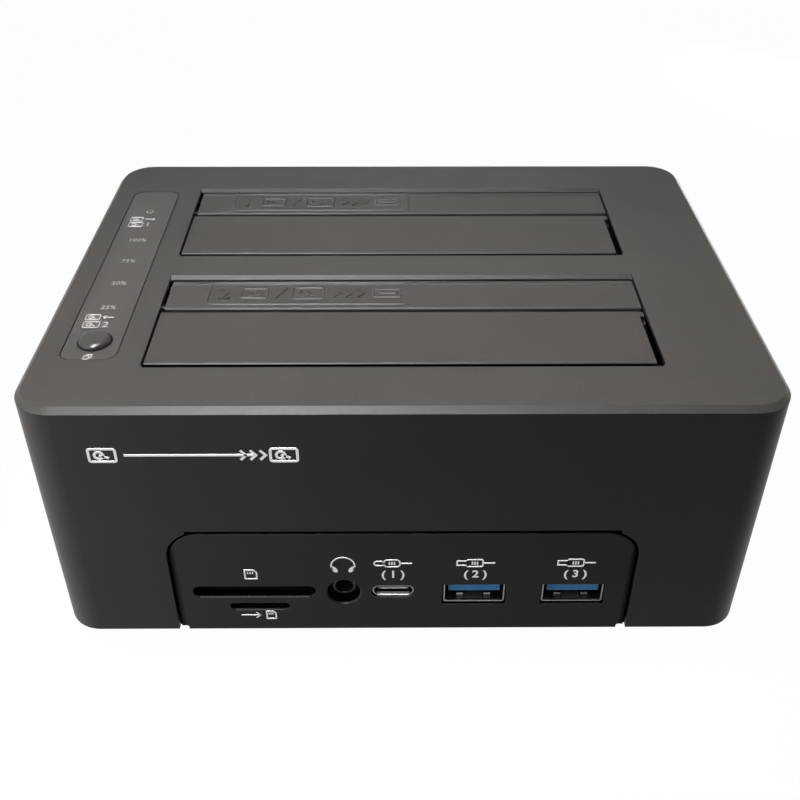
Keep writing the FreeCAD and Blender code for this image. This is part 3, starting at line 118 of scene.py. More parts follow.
class SignSizes(bpy.types.PropertyGroup):
    """Printed signs and the raised frames on the flaps."""

    ink: FloatVectorProperty(
        name="Ink", description="Colour of the silver ink on the front and the back",
        subtype="COLOR", min=0.0, max=1.0, default=(0.52, 0.52, 0.51),
    )
    strip_ink: FloatVectorProperty(
        name="Strip ink", description="Colour of the silver ink on the status strip",
        subtype="COLOR", min=0.0, max=1.0, default=(0.30, 0.29, 0.28),
    )
    ink_rise: FloatProperty(
        name="Ink thickness", description="Thickness of the printed ink",
        unit="LENGTH", default=0.02 * MM,
    )
    line: FloatProperty(
        name="Line", description="Width of a printed line",
        unit="LENGTH", default=0.32 * MM,
    )
    frame_length: FloatProperty(
        name="Frame length", description="Length of the raised frame on a narrow flap",
        unit="LENGTH", default=44.6 * MM,
    )
    frame_width: FloatProperty(
        name="Frame width", description="Width of the raised frame on a narrow flap",
        unit="LENGTH", default=8.9 * MM,
    )
    frame_inset: FloatProperty(
        name="Frame inset", description="From the end of the flap to its raised frame",
        unit="LENGTH", default=10.8 * MM,
    )
    frame_shift: FloatProperty(
        name="Frame shift", description="From the middle of the flap's depth to its raised frame",
        unit="LENGTH", default=-1.2 * MM,
    )
    frame_corner: FloatProperty(
        name="Frame corner", description="Corner radius of the raised frame",
        unit="LENGTH", default=1.6 * MM,
    )
    frame_rise: FloatProperty(
        name="Frame rise", description="Height of the raised frame over the flap",
        unit="LENGTH", default=0.19 * MM,
    )
    frame_line: FloatProperty(
        name="Frame line", description="Width of the raised lines",
        unit="LENGTH", default=0.5 * MM,
    )


class FittingSizes(bpy.types.PropertyGroup):
    """Small turned pieces that this script shapes more finely than the solids."""

    crown_radius: FloatProperty(
        name="Crown radius", description="Radius of the clone button",
        unit="LENGTH", default=3.3 * MM,
    )
    crown_height: FloatProperty(
        name="Crown height", description="Rise of the button's face from its rounded edge to its middle",
        unit="LENGTH", default=0.15 * MM,
    )
    crown_edge: FloatProperty(
        name="Crown edge", description="Radius of the button's rounded edge",
        unit="LENGTH", default=1.0 * MM,
    )
    flange: FloatProperty(
        name="Flange", description="Thickness of the flange that holds the button under the roof",
        unit="LENGTH", default=0.9 * MM,
    )
    stem_radius: FloatProperty(
        name="Stem radius", description="Radius of the button's stem",
        unit="LENGTH", default=1.6 * MM,
    )
    screw_head: FloatProperty(
        name="Screw head", description="Radius of a case screw's head",
        unit="LENGTH", default=2.4 * MM,
    )
    screw_shank: FloatProperty(
        name="Screw shank", description="Radius of a case screw's shank",
        unit="LENGTH", default=1.2 * MM,
    )
    screw_head_height: FloatProperty(
        name="Screw head height", description="Height of a case screw's head",
        unit="LENGTH", default=1.3 * MM,
    )
    facets: IntProperty(
        name="Facets", description="Flats round a turned piece", min=12, max=128, default=64,
    )


class StudioSettings(bpy.types.PropertyGroup):
    """Camera, lamps and the room's light."""

    lens: FloatProperty(
        name="Lens", description="Focal length of the camera, in millimetres", default=44.87,
    )
    lift: FloatProperty(
        name="Shift", description="Vertical shift of the camera", default=-0.0625,
    )
    place: FloatVectorProperty(
        name="Camera", description="Where the camera stands",
        subtype="XYZ", unit="LENGTH", default=(-0.0018, -0.1999, 0.1798),
    )
    tilt: FloatProperty(
        name="Tilt", description="Tilt of the camera from looking straight down",
        subtype="ANGLE", default=math.radians(54.86),
    )
    turn: FloatProperty(
        name="Turn", description="Turn of the camera about the vertical",
        subtype="ANGLE", default=math.radians(-0.42),
    )
    roll: FloatProperty(
        name="Roll", description="Roll of the camera about its own axis",
        subtype="ANGLE", default=math.radians(0.11),
    )
    overhead: FloatProperty(
        name="Overhead lamp", description="Power of the soft box above",
        unit="POWER", default=0.205,
    )
    beam: FloatProperty(
        name="Beam", description="How wide the overhead lamp spreads",
        subtype="ANGLE", default=math.radians(20),
    )
    glint: FloatProperty(
        name="Glint lamp", description="Power of the lamp in front that only the edges catch",
        unit="POWER", default=21.38,
    )
    crest: FloatProperty(
        name="Crest lamp", description="Power of the lamp above that only the lips of the bays catch",
        unit="POWER", default=6.75,
    )
    side: FloatProperty(
        name="Side lamp", description="Power of the lamp at the front left",
        unit="POWER", default=0.26,
    )
    behind: FloatProperty(
        name="Back lamp", description="Power of the lamp behind on the right",
        unit="POWER", default=0.45,
    )
    ambient: FloatProperty(
        name="Ambient", description="Level of the room's light", min=0.0, max=1.0, default=0.018,
    )


# Shader expressions


class Wire:
    """An output socket of a node. Arithmetic on it adds Math nodes."""

    def __init__(self, shade, socket):
        self.shade = shade
        self.socket = socket

    def output(self, name):
        """Another output of the same node."""
        return Wire(self.shade, self.socket.node.outputs[name])

    def worked(self, operation, first, second):
        return self.shade.node("ShaderNodeMath", {"operation": operation}, {0: first, 1: second})

    def __add__(self, other):
        return self.worked("ADD", self, other)

    def __radd__(self, other):
        return self.worked("ADD", other, self)

    def __sub__(self, other):
        return self.worked("SUBTRACT", self, other)

    def __rsub__(self, other):
        return self.worked("SUBTRACT", other, self)

    def __mul__(self, other):
        return self.worked("MULTIPLY", self, other)

    def __rmul__(self, other):
        return self.worked("MULTIPLY", other, self)

    def __gt__(self, other):
        return self.worked("GREATER_THAN", self, other)

    def __lt__(self, other):
        return self.worked("LESS_THAN", self, other)


class Shade:
    """The node tree of one material, or of the world."""

    def __init__(self, tree):
        self.tree = tree
        tree.nodes.clear()

    def node(self, kind, settings=None, sockets=None, output=0):
        """Any node: its settings first, then the values or links of its sockets."""
        made = self.tree.nodes.new(kind)
        for name, value in (settings or {}).items():
            setattr(made, name, value)
        for name, value in (sockets or {}).items():
            socket = made.inputs[name]
            if isinstance(value, Wire):
                self.tree.links.new(value.socket, socket)
            elif socket.type == "RGBA" and len(value) == 3:
                socket.default_value = (*value, 1.0)
            else:
                socket.default_value = value
        return Wire(self, made.outputs[output]) if len(made.outputs) else None

    def place(self):
        """The point on the surface, in metres, in the piece's own space."""
        return self.node("ShaderNodeTexCoord", output="Object")

    def noise(self, place, size, detail=2.0, rough=0.5):
        """Even noise whose lumps are about as large as size."""
        sockets = {"Vector": place, "Scale": 1 / size, "Detail": detail, "Roughness": rough}
        return self.node("ShaderNodeTexNoise", sockets=sockets)

    def mix(self, factor, first, second):
        """A colour between two colours."""
        settings = {"data_type": "RGBA", "clamp_factor": True}
        return self.node("ShaderNodeMix", settings, {0: factor, 6: first, 7: second}, output=2)

    def varied(self, factor, colour, low, high):
        """A colour between the shares low and high of one colour."""
        return self.mix(factor, shaded(colour, low), shaded(colour, high))

    def bump(self, height, distance, strength, edge=None, samples=4):
        """Fine unevenness, over edges that are softened by the radius edge."""
        sockets = {"Height": height, "Distance": distance, "Strength": strength}
        if edge is not None:
            sockets["Normal"] = self.node("ShaderNodeBevel", {"samples": samples}, {"Radius": edge})
        return self.node("ShaderNodeBump", sockets=sockets)

    def inside(self, place, low, high):
        """1 between two corners of a box, and 0 outside it."""
        factor = 1.0
        for axis, start, end in zip("XYZ", low, high):
            along = self.node("ShaderNodeSeparateXYZ", sockets={0: place}, output=axis)
            factor = (along > start) * (along < end) * factor
        return factor

    def stretched(self, place, by):
        """The same place, stretched along an axis for brushed or drawn surfaces."""
        return self.node("ShaderNodeVectorMath", {"operation": "MULTIPLY"}, {0: place, 1: by})


# Finishes

SHADE_BLACK = (0.006, 0.0055, 0.005)    # painted shade: the black that gaps and wells are painted, where they lie out of the light
SIDE_SHADE = 1.3 * MM     # how far the seam's shade reaches onto the sides of a port panel
CLOUD = 22 * MM           # size of the faint clouds in moulded plastic


def shaded(colour, by):
    return tuple(part * by for part in colour)


def new_shade(name):
    material = bpy.data.materials.new(name)
    material.use_nodes = True
    return material, Shade(material.node_tree)


def surface(shade, sockets, painted_shade_factor=None):
    """The closing Principled shader, which gives way to plain black, painted shade, where the last
    argument is 1.
    """
    skin = shade.node("ShaderNodeBsdfPrincipled", sockets=sockets)
    if painted_shade_factor is not None:
        black = shade.node("ShaderNodeBsdfDiffuse", sockets={"Color": SHADE_BLACK})
        skin = shade.node("ShaderNodeMixShader", sockets={0: painted_shade_factor, 1: skin, 2: black})
    shade.node("ShaderNodeOutputMaterial", sockets={"Surface": skin})


def moulded_plastic(
    name, colour, roughness=1.0, grain=1.0, depth=1.0, edge=1.0,
    specular=0.08, coat=0.0, painted_shade_boxes=(), rubbed=(), sides=None,
):
    """Spark-eroded plastic: fine grain, a little cloudiness, and edges softened by the mould.

    roughness, grain, depth and edge are shares of the housing's own. Inside the boxes of painted shade
    the plastic turns plain black as shade, and inside the boxes of rubbed it is worn smooth. Where sides
    is given, it darkens with the seam's painted shade towards the side edges at x = -sides and x =
    sides.
    """
    look = bpy.context.scene.duplicator_housing
    material, shade = new_shade(name)
    place = shade.place()
    lump = look.grain * grain
    fine = shade.noise(place, lump, detail=3.0, rough=0.6)
    cloudy = shade.noise(place, CLOUD, detail=3.0)
    speckle = shade.noise(place, lump * 2.6, detail=1.0)
    # painted shade: in these boxes and towards the side edges the plastic is painted black
    black = [shade.inside(place, low, high) for low, high in painted_shade_boxes]
    if sides is not None:
        across = shade.node("ShaderNodeSeparateXYZ", sockets={0: place}, output="X")
        for way in (-1, 1):
            near = (across * way - (sides - SIDE_SHADE)) * (1 / SIDE_SHADE)
            black.append(near * (near > 0.0))
    for low, high in rubbed:
        coat = coat + shade.inside(place, low, high)
    surface(shade, {
        "Base Color": shade.varied(cloudy * 0.6 + speckle * 0.4, colour, 0.80, 1.20),
        "Roughness": look.roughness * roughness - 0.07 + 0.10 * fine + 0.04 * cloudy,
        "Specular IOR Level": specular,
        "Coat Weight": coat,
        "Coat Roughness": 0.25,
        "Normal": shade.bump(fine, look.grain_depth * depth, 1.0, look.edge * edge, samples=6),
    }, sum(black) if black else None)
    return material


def plated_metal(name, colour, roughness, along, scratch=0.09 * MM):
    """Rolled or drawn metal with fine marks along one direction."""
    material, shade = new_shade(name)
    place = shade.place()
    drawn = shade.noise(shade.stretched(place, along), scratch, detail=3.0)
    stain = shade.noise(place, 3 * MM, detail=3.0)
    surface(shade, {
        "Base Color": shade.varied(stain, colour, 0.86, 1.08),
        "Metallic": 1.0,
        "Roughness": roughness - 0.06 + 0.14 * drawn + 0.05 * stain,
        "Normal": shade.bump(drawn, 0.004 * MM, 0.7, edge=0.06 * MM),
    })
    return material


def socket_metal(name, silver, metal_in_shade, lit_boxes):
    """Plated sheet round a socket, painted dark inside as shade, with a share of silver in each lit box.
    """
    material, shade = new_shade(name)
    place = shade.place()
    drawn = shade.noise(shade.stretched(place, (1, 0.2, 1)), 0.09 * MM, detail=3.0)
    stain = shade.noise(place, 2 * MM, detail=3.0)
    colour = shade.varied(stain, metal_in_shade, 0.8, 1.3)
    for low, high, share in lit_boxes:
        colour = shade.mix(shade.inside(place, low, high), colour, shaded(silver, share))
    surface(shade, {
        "Base Color": colour,
        "Metallic": 1.0,
        "Roughness": 0.26 + 0.08 * drawn,
        "Normal": shade.bump(drawn, 0.004 * MM, 0.7, edge=0.06 * MM),
    })
    return material


def glossy_plastic(name, colour, roughness, sheen=0.5, flow=2.5 * MM):
    """Injection-moulded insulator: smooth, with faint flow marks."""
    material, shade = new_shade(name)
    place = shade.place()
    marks = shade.noise(shade.stretched(place, (1, 1, 0.35)), flow, detail=4.0, rough=0.6)
    dust = shade.noise(place, 0.35 * MM, detail=2.0)
    surface(shade, {
        "Base Color": shade.varied(marks, colour, 0.82, 1.15),
        "Roughness": roughness + 0.10 * dust - 0.04 * marks,
        "Specular IOR Level": sheen,
        "Normal": shade.bump(dust, 0.004 * MM, 0.6, edge=0.1 * MM),
    })
    return material


def circuit_board(name, mask, copper):
    """Solder mask over copper: straight tracks, a ground pour and plated dots."""
    material, shade = new_shade(name)
    place = shade.place()
    settings = {"offset": 0.35, "offset_frequency": 3, "squash": 0.6, "squash_frequency": 2}
    sockets = {
        "Vector": place, "Scale": 120.0, "Mortar Size": 0.09, "Mortar Smooth": 0.1,
        "Brick Width": 1.3, "Row Height": 0.22,
    }
    gap = shade.node("ShaderNodeTexBrick", settings, sockets, output="Fac")
    dots = shade.node(
        "ShaderNodeTexVoronoi", {"feature": "F1"}, {"Vector": place, "Scale": 260.0},
        output="Distance",
    )
    via = dots < 0.16
    cloudy = shade.noise(place, 9 * MM)
    tracked = shade.mix(gap * 0.75, shaded(mask, 1.9), shade.varied(cloudy, mask, 0.85, 1.15))
    surface(shade, {
        "Base Color": shade.mix(via, tracked, copper),
        "Metallic": via * 0.9,
        "Roughness": 0.28 + 0.12 * cloudy,
        "Normal": shade.bump(1.0 - gap, 0.03 * MM, 0.5),
    })
    return material


def soft_rubber(name, colour):
    """Dull rubber with a dusty bloom."""
    material, shade = new_shade(name)
    place = shade.place()
    fine = shade.noise(place, 0.4 * MM, detail=4.0, rough=0.7)
    bloom = shade.noise(place, 4 * MM, detail=3.0)
    surface(shade, {
        "Base Color": shade.varied(bloom, colour, 0.8, 1.5),
        "Roughness": 0.78 + 0.15 * fine,
        "Specular IOR Level": 0.25,
        "Normal": shade.bump(fine, 0.03 * MM, 0.8),
    })
    return material


def clear_resin(name, colour):
    """Clear polycarbonate with faint haze."""
    material, shade = new_shade(name)
    haze = shade.noise(shade.place(), 1.5 * MM, detail=3.0)
    surface(shade, {
        "Base Color": shade.varied(haze, colour, 0.94, 1.0),
        "Roughness": 0.08 + 0.10 * haze,
        "Transmission Weight": 0.85,
    })
    return material


def printed_ink(name, colour):
    """Silver pad-printing ink, thin enough for the grain under it to show."""
    material, shade = new_shade(name)
    place = shade.place()
    fine = shade.noise(place, 0.22 * MM, detail=2.0)
    worn = shade.noise(place, 1.6 * MM, detail=3.0)
    surface(shade, {
        "Base Color": shade.varied(0.7 * fine + 0.3 * worn, colour, 0.86, 1.12),
        "Metallic": 0.85,
        "Roughness": 0.46 + 0.1 * fine,
        "Normal": shade.bump(fine, 0.006 * MM, 0.6),
    })
    return material


def paint(material, *nodes):
    """Puts a finish on CAD nodes."""
    for name in nodes:
        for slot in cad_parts[name].material_slots:
            slot.material = material


def nodes_ending(*endings):
    return [name for name in sorted(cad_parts) if name.endswith(endings)]


# Drawing signs and turning pieces


def arc(middle, radius, start, end, steps=16):
    """Points along an arc, angles in degrees."""
    angles = [math.radians(start + (end - start) * i / steps) for i in range(steps + 1)]
    return [Vector((middle[0] + radius * math.cos(a), middle[1] + radius * math.sin(a))) for a in angles]


def ring(middle, radius, steps=28):
    return arc(middle, radius, 0, 360, steps)[:-1]


def box_outline(middle, size, corner=0.0, steps=5):
    """The outline of a rectangle, with round corners where corner isn't 0."""
    x, y = size[0] / 2 - corner, size[1] / 2 - corner
    outline = []
    for sx, sy, start in ((1, 1, 0), (-1, 1, 90), (-1, -1, 180), (1, -1, 270)):
        at = (middle[0] + sx * x, middle[1] + sy * y)
        outline += arc(at, corner, start, start + 90, steps) if corner else [Vector(at)]
    return outline


def plane_at(at, right, up):
    """A drawing plane on the object: drawing X runs along right and drawing Y along up."""
    turn = Matrix((right, up, right.cross(up))).transposed().to_4x4()
    return Matrix.Translation(at) @ turn


def touch(node, start, direction):
    """Where a straight line first meets a CAD node, and how that surface faces."""
    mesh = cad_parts[node].data
    tree = BVHTree.FromPolygons([v.co for v in mesh.vertices], [p.vertices for p in mesh.polygons])
    at, normal, _, _ = tree.ray_cast(start, direction)
    if at is None:
        raise RuntimeError(f"nothing of {node} lies that way")
    return at, normal


class Relief:
    """Lines, areas and figures drawn flat and raised a little; all of them become one piece."""

    def __init__(self, rise, line):
        self.form = bmesh.new()
        self.rise = rise
        self.line = line

    def stroke(self, points, closed=False, width=None):
        """A line with sloping sides, mitred at its corners."""
        points = [Vector(point) for point in points]
        half = (width or self.line) / 2
        slope = min(self.rise, half * 0.8)
        profile = ((half, 0), (half - slope, self.rise), (slope - half, self.rise), (-half, 0))
        sections = []
        for i, point in enumerate(points):
            before = points[i - 1] if i or closed else point
            after = points[(i + 1) % len(points)] if closed or i + 1 < len(points) else point
            sides = [(b - a).normalized() for a, b in ((before, point), (point, after)) if a != b]
            along = sum(sides, Vector((0, 0))).normalized()
            across = Vector((-along.y, along.x)) / max(0.4, along.dot(sides[0]))
            sections.append([
                self.form.verts.new((*(point + across * u), v)) for u, v in profile
            ])
        pairs = list(zip(sections, sections[1:]))
        if closed:
            pairs.append((sections[-1], sections[0]))
        else:
            self.form.faces.new(sections[0])
            self.form.faces.new(reversed(sections[-1]))
        for near, far in pairs:
            for i in range(3):
                self.form.faces.new((near[i], near[i + 1], far[i + 1], far[i]))

    def patch(self, outline):
        """A filled area."""
        low = [self.form.verts.new((*point, 0)) for point in outline]
        high = [self.form.verts.new((*point, self.rise)) for point in outline]
        self.form.faces.new(high)
        for i, vert in enumerate(low):
            j = (i + 1) % len(low)
            self.form.faces.new((vert, low[j], high[j], high[i]))

    def figures(self, text, middle, height, weight=0.0):
        """Plain numbers."""
        curve = bpy.data.curves.new("figures", "FONT")
        curve.body = text
        curve.size = height / 0.7
        curve.align_x = "CENTER"
        curve.extrude = self.rise / 2
        curve.offset = weight
        curve.resolution_u = 4
        holder = bpy.data.objects.new("figures", curve)
        mesh = bpy.data.meshes.new_from_object(holder)
        mesh.transform(Matrix.Translation((middle[0], middle[1] - height / 2, self.rise / 2)))
        self.form.from_mesh(mesh)
        bpy.data.objects.remove(holder)
        bpy.data.curves.remove(curve)
        bpy.data.meshes.remove(mesh)

    def stand(self, name, place, body, material):
        """Stands the finished drawing on a plane of the object and lets it ride on a body."""
        bmesh.ops.recalc_face_normals(self.form, faces=self.form.faces)
        return make_piece(name, self.form, place, body, material)


def make_piece(name, form, place, body, material, smooth=None):
    """Turns a bmesh into a piece of the object that rides on a body."""
    mesh = bpy.data.meshes.new(name)
    form.transform(place)
    form.to_mesh(mesh)
    form.free()
    if smooth is not None:
        mesh.shade_smooth()
        mesh.set_sharp_from_angle(angle=math.radians(smooth))
    mesh.materials.append(material)
    piece = bpy.data.objects.new(name, mesh)
    bpy.context.scene.collection.objects.link(piece)
    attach(piece, body)
    return piece


def turned(form, profile, steps):
    """A piece turned about Z from (radius, height) pairs that start and end on the axis."""
    low = form.verts.new((0, 0, profile[0][1]))
    high = form.verts.new((0, 0, profile[-1][1]))
    turns = [math.tau * i / steps for i in range(steps)]
    circles = []
    for radius, height in profile[1:-1]:
        around = [(radius * math.cos(a), radius * math.sin(a), height) for a in turns]
        circles.append([form.verts.new(point) for point in around])
    for i in range(steps):
        j = (i + 1) % steps
        form.faces.new((low, circles[0][j], circles[0][i]))
        form.faces.new((high, circles[-1][i], circles[-1][j]))
        for near, far in zip(circles, circles[1:]):
            form.faces.new((near[i], near[j], far[j], far[i]))


# Signs


def arrow(relief, tail, tip, head):
    """A straight arrow with an open head."""
    tail, tip = Vector(tail), Vector(tip)
    along = (tip - tail).normalized() * head
    across = Vector((-along.y, along.x))
    relief.stroke([tail, tip])
    relief.stroke([tip - along + across, tip, tip - along - across])


def drive(relief, middle, size):
    """A disc drive seen from above: its case, its disc and its arm."""
    relief.stroke(box_outline(middle, size, size[1] * 0.14), closed=True)
    x, y = middle[0] - size[0] * 0.12, middle[1]
    relief.stroke(ring((x, y), size[1] * 0.27, 20), closed=True)
    relief.stroke([(x, y), (x + size[0] * 0.36, y - size[1] * 0.22)])


def power(relief, middle, radius):
    """An open ring and a bar through its gap."""
    relief.stroke(arc(middle, radius, 130, 410, 20))
    relief.stroke([(middle[0], middle[1] + radius * 0.2), (middle[0], middle[1] + radius * 1.15)])


def copies(relief, middle, side):
    """One sheet in front of another, whose uncovered edges show."""
    shift = side * 0.22
    x, y = middle
    relief.stroke(box_outline((x - shift, y - shift), (side, side), side * 0.15, 3), closed=True)
    left, right = x + shift - side / 2, x + shift + side / 2
    low, high = y + shift - side / 2, y + shift + side / 2
    hidden = shift * 1.2
    behind = [(left, high - hidden), (left, high), (right, high), (right, low), (right - hidden, low)]
    relief.stroke(behind)


def card(relief, middle, size):
    """A memory card: a bevelled corner and three contacts."""
    x, y = size[0] / 2, size[1] / 2
    cut = size[0] * 0.28
    outline = [(-x, -y), (x, -y), (x, y - cut), (x - cut, y), (-x, y)]
    relief.stroke([(middle[0] + u, middle[1] + v) for u, v in outline], closed=True)
    for i in range(3):
        u = middle[0] - x * 0.5 + i * x * 0.42
        relief.stroke([(u, middle[1] + y * 0.1), (u, middle[1] + y * 0.62)], width=relief.line * 0.8)


def headset(relief, top, width, height):
    """A headband with two ear cups that lean inward."""
    radius = (width - relief.line) / 2
    middle = (top[0], top[1] - relief.line / 2 - radius)
    relief.stroke(arc(middle, radius, -32, 212, 28))
    for side in (-1, 1):
        lean = Matrix.Rotation(side * math.radians(-32), 2)
        cup = Vector((top[0] + side * width * 0.345, top[1] - height * 0.77))
        blob = [cup + lean @ Vector((p.x * 0.52, p.y)) for p in ring((0, 0), height * 0.21, 16)]
        relief.patch(blob)


def plug(relief, middle, width, height, rounded):
    """A plug seen from the side: its mouth, its grip and a little of its lead."""
    x, y = middle[0] - width / 2, middle[1]
    mouth = (width * 0.26, height * 0.62)
    relief.stroke(box_outline((x + mouth[0] / 2, y), mouth, mouth[1] * 0.45 * rounded, 4), closed=True)
    grip = (width * 0.42, height)
    corner = height * (0.15 + 0.22 * rounded)
    relief.stroke(box_outline((x + mouth[0] + grip[0] / 2, y), grip, corner, 5), closed=True)
    for i in (-1, 0, 1):
        rib = x + mouth[0] + grip[0] * (0.5 + 0.16 * i)
        relief.stroke([(rib, y - height * 0.22), (rib, y + height * 0.22)])
    relief.stroke([(x + mouth[0] + grip[0], y), (x + width, y)])


def direct_current(relief, middle, width):
    """A line over a broken line."""
    x, y = middle
    relief.stroke([(x - width / 2, y + width * 0.14), (x + width / 2, y + width * 0.14)])
    for i in (-1, 0, 1):
        at = x + i * width * 0.36
        relief.stroke([(at - width * 0.12, y - width * 0.14), (at + width * 0.12, y - width * 0.14)])


def computer(relief, middle, width):
    """A screen on its stand."""
    x, y = middle
    screen = (width, width * 0.62)
    relief.stroke(box_outline((x, y + width * 0.12), screen, width * 0.06, 3), closed=True)
    foot = y - width * 0.38
    relief.stroke([(x, y - width * 0.20), (x, foot)])
    relief.stroke([(x - width * 0.25, foot), (x + width * 0.25, foot)])


def chevrons(relief, tip, step, size):
    """Three open arrow heads in a row. The first one's tip lies at tip."""
    for i in range(3):
        x, y = tip[0] + i * step, tip[1]
        relief.stroke([(x - size[0], y + size[1]), (x, y), (x - size[0], y - size[1])])


# Boxes where shade from neighbouring pieces is painted on a surface, where light is painted on socket
# metal, or where a surface is rubbed

MARGIN = 0.05 * MM * Vector((1, 1, 1))    # how far a box reaches past a face that it ends on
FACE_EDGE = 0.2 * MM      # behind a panel's face, where a line across it meets its edges
UNDER_BEVEL = 0.3 * MM    # below the top of a plate, past the bevel of its edges
ARCH_CORNER = 7.5 * MM    # how far the front opening's corners take up its upper edge
RIM_DEPTH = 0.95 * MM     # how far below the roof the walls of the wells are painted black as shade


def wells_box():
    """A box round the inside of both wells, where their walls are painted black as shade."""
    flaps = [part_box(name) for name in nodes_ending("_flap")]
    around = 2 * MM
    low = Vector([min(box[0][i] for box in flaps) - around for i in range(3)])
    high = Vector([max(box[1][i] for box in flaps) + around for i in range(3)])
    high.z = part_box("top_shell")[1].z - RIM_DEPTH
    return low, high


def hinge_edge(flap):
    """How far forward the hinge edge of a wide flap reaches, under its bevel."""
    low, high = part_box(flap)
    start = Vector(((low.x + high.x) / 2, low.y - 3 * MM, high.z - UNDER_BEVEL))
    edge, _ = touch(flap, start, BACK)
    return edge.y


def hinge_box(flap):
    """A box round the hinge edge of a wide flap, under its bevel, painted black as the roof's shade."""
    low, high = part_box(flap)
    edge = hinge_edge(flap) + 0.3 * MM
    return low - MM * RIGHT, Vector((high.x + MM, edge, high.z - 0.22 * MM))


def ear_box(flap):
    """A box round the left ear of a narrow flap, in the gap beside its plate, painted black as shade."""
    low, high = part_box(flap)
    start = Vector((low.x - MM, (low.y + high.y) / 2, high.z - UNDER_BEVEL))
    plate, _ = touch(flap, start, RIGHT)
    return Vector((low.x - MM, low.y + 1.1 * MM, low.z)), Vector((plate.x, high.y, high.z + MM))


def bay_rim(flap):
    """A box round the bay's edge in front of its wide flap, painted black as the shade of the gap."""
    low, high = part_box(flap)
    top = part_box("top_shell")[1].z
    start = Vector(((low.x + high.x) / 2, hinge_edge(flap) - 0.1 * MM, top - UNDER_BEVEL))
    wall, left, right = [touch("top_shell", start, way)[0] for way in (-BACK, -RIGHT, RIGHT)]
    short = 0.5 * MM
    first = Vector((left.x + short, wall.y - 0.3 * MM, top - MM))
    return first, Vector((right.x - short, wall.y + 0.1 * MM, top + MM))


def arch_edge():
    """A box along the straight upper edge of the front opening, painted black as the seam's shade."""
    low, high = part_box("front_port_panel")
    above = Vector((0, low.y + FACE_EDGE, high.z + MM))
    panel, _ = touch("front_port_panel", above, -UP)
    edge, _ = touch("top_shell", panel + 0.05 * MM * UP, UP)
    first = Vector((low.x + ARCH_CORNER, low.y - MM, panel.z))
    return first, Vector((high.x - ARCH_CORNER, low.y + MM, edge.z + 0.25 * MM))


def slot_lips():
    """Boxes round the lower edges of the card slots, which cards rub smooth."""
    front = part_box("front_port_panel")[0].y
    for node, inset in (("card_socket", 2.2 * MM), ("micro_card_socket", 1.6 * MM)):
        low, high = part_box(node)
        start = Vector(((low.x + high.x) / 2, front + 0.5 * MM, (low.z + high.z) / 2))
        lip, _ = touch("front_port_panel", start, -UP)
        first = Vector((low.x + inset, front - 0.1 * MM, lip.z - 0.36 * MM))
        yield first, Vector((high.x - inset, front + 0.4 * MM, lip.z + 0.05 * MM))


def mouth(node, depth, share):
    """A box round the lit mouth of a front socket, and the share of silver painted there; deeper in, the
    plate keeps its painted shade.
    """
    low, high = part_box(node)
    return low - MARGIN, Vector((high.x, low.y + depth, high.z)) + MARGIN, share


def inside_type_a(node):
    """Boxes in a type A shell, painted in shade: its dimly lit floor, then its spring fingers, near
    black low down and a little lighter at the top.
    """
    low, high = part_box(node)
    middle, half = (low.x + high.x) / 2, 2 * MM
    yield (
        Vector((middle - half, low.y + 0.6 * MM, low.z + 0.2 * MM)),
        Vector((middle + half, low.y + 6 * MM, low.z + 0.4 * MM)), 0.2,
    )
    end = high + Vector((-2.2, -9.0, -3.6)) * MM
    for start, share in ((0.31, 0.006), (0.84, 0.05)):
        yield low + Vector((2.2, 0.4, start)) * MM, end, share


# Operators


class DUPLICATOR_OT_housing(bpy.types.Operator):
    """Finish the shell and the two port panels"""

    bl_idname = "duplicator.housing"
    bl_label = "Housing"

    def execute(self, context):
        look = context.scene.duplicator_housing
        # painted shade on the shell: black in the wells, along the bay rims and along the arch's top
        # edge
        rims = [bay_rim(name) for name in nodes_ending("_large_flap")]
        painted_shade_boxes = [wells_box(), *rims, arch_edge()]
        paint(moulded_plastic("shell_plastic", look.shell, painted_shade_boxes=painted_shade_boxes), "top_shell")
        for end, inward in (("front", 1), ("rear", -1)):
            node = f"{end}_port_panel"
            low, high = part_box(node)
            face = low.y if inward > 0 else high.y
            start = Vector((high.x + MM, face + FACE_EDGE * inward, (low.z + high.z) / 2))
            side, _ = touch(node, start, -RIGHT)
            skin = 0.3 * MM * inward * BACK    # painted shade: all of the panel that lies deeper is painted black
            # towards its side edges the panel is painted dark, as the shade of the seam
            plastic = moulded_plastic(
                f"{end}_panel_plastic", look.shell, specular=0.05, painted_shade_boxes=[(low + skin, high + skin)],
                rubbed=slot_lips() if inward > 0 else (), sides=side.x,
            )
            paint(plastic, node)
        return {"FINISHED"}


class DUPLICATOR_OT_flaps(bpy.types.Operator):
    """Finish the four sprung flaps, their pins and their springs"""

    bl_idname = "duplicator.flaps"
    bl_label = "Flaps"

    def execute(self, context):
        look = context.scene.duplicator_housing
        # painted shade: the hinge edges of the wide flaps and the ears of the narrow ones are painted
        # black
        for bay in ("rear", "front"):
            for width, shaded_box in (("small", ear_box), ("large", hinge_box)):
                node = f"{bay}_{width}_flap"
                paint(moulded_plastic(f"{node}_plastic", look.flap, painted_shade_boxes=[shaded_box(node)]), node)
        steel = plated_metal("hinge_steel", (0.22, 0.22, 0.23), 0.36, (0.15, 1, 1))
        paint(steel, *[name for name in nodes_ending("_pin") if name != "power_jack_pin"])
        wire = plated_metal("spring_wire", (0.09, 0.09, 0.095), 0.42, (1, 0.3, 0.3), 0.05 * MM)
        paint(wire, *nodes_ending("_spring"))
        return {"FINISHED"}


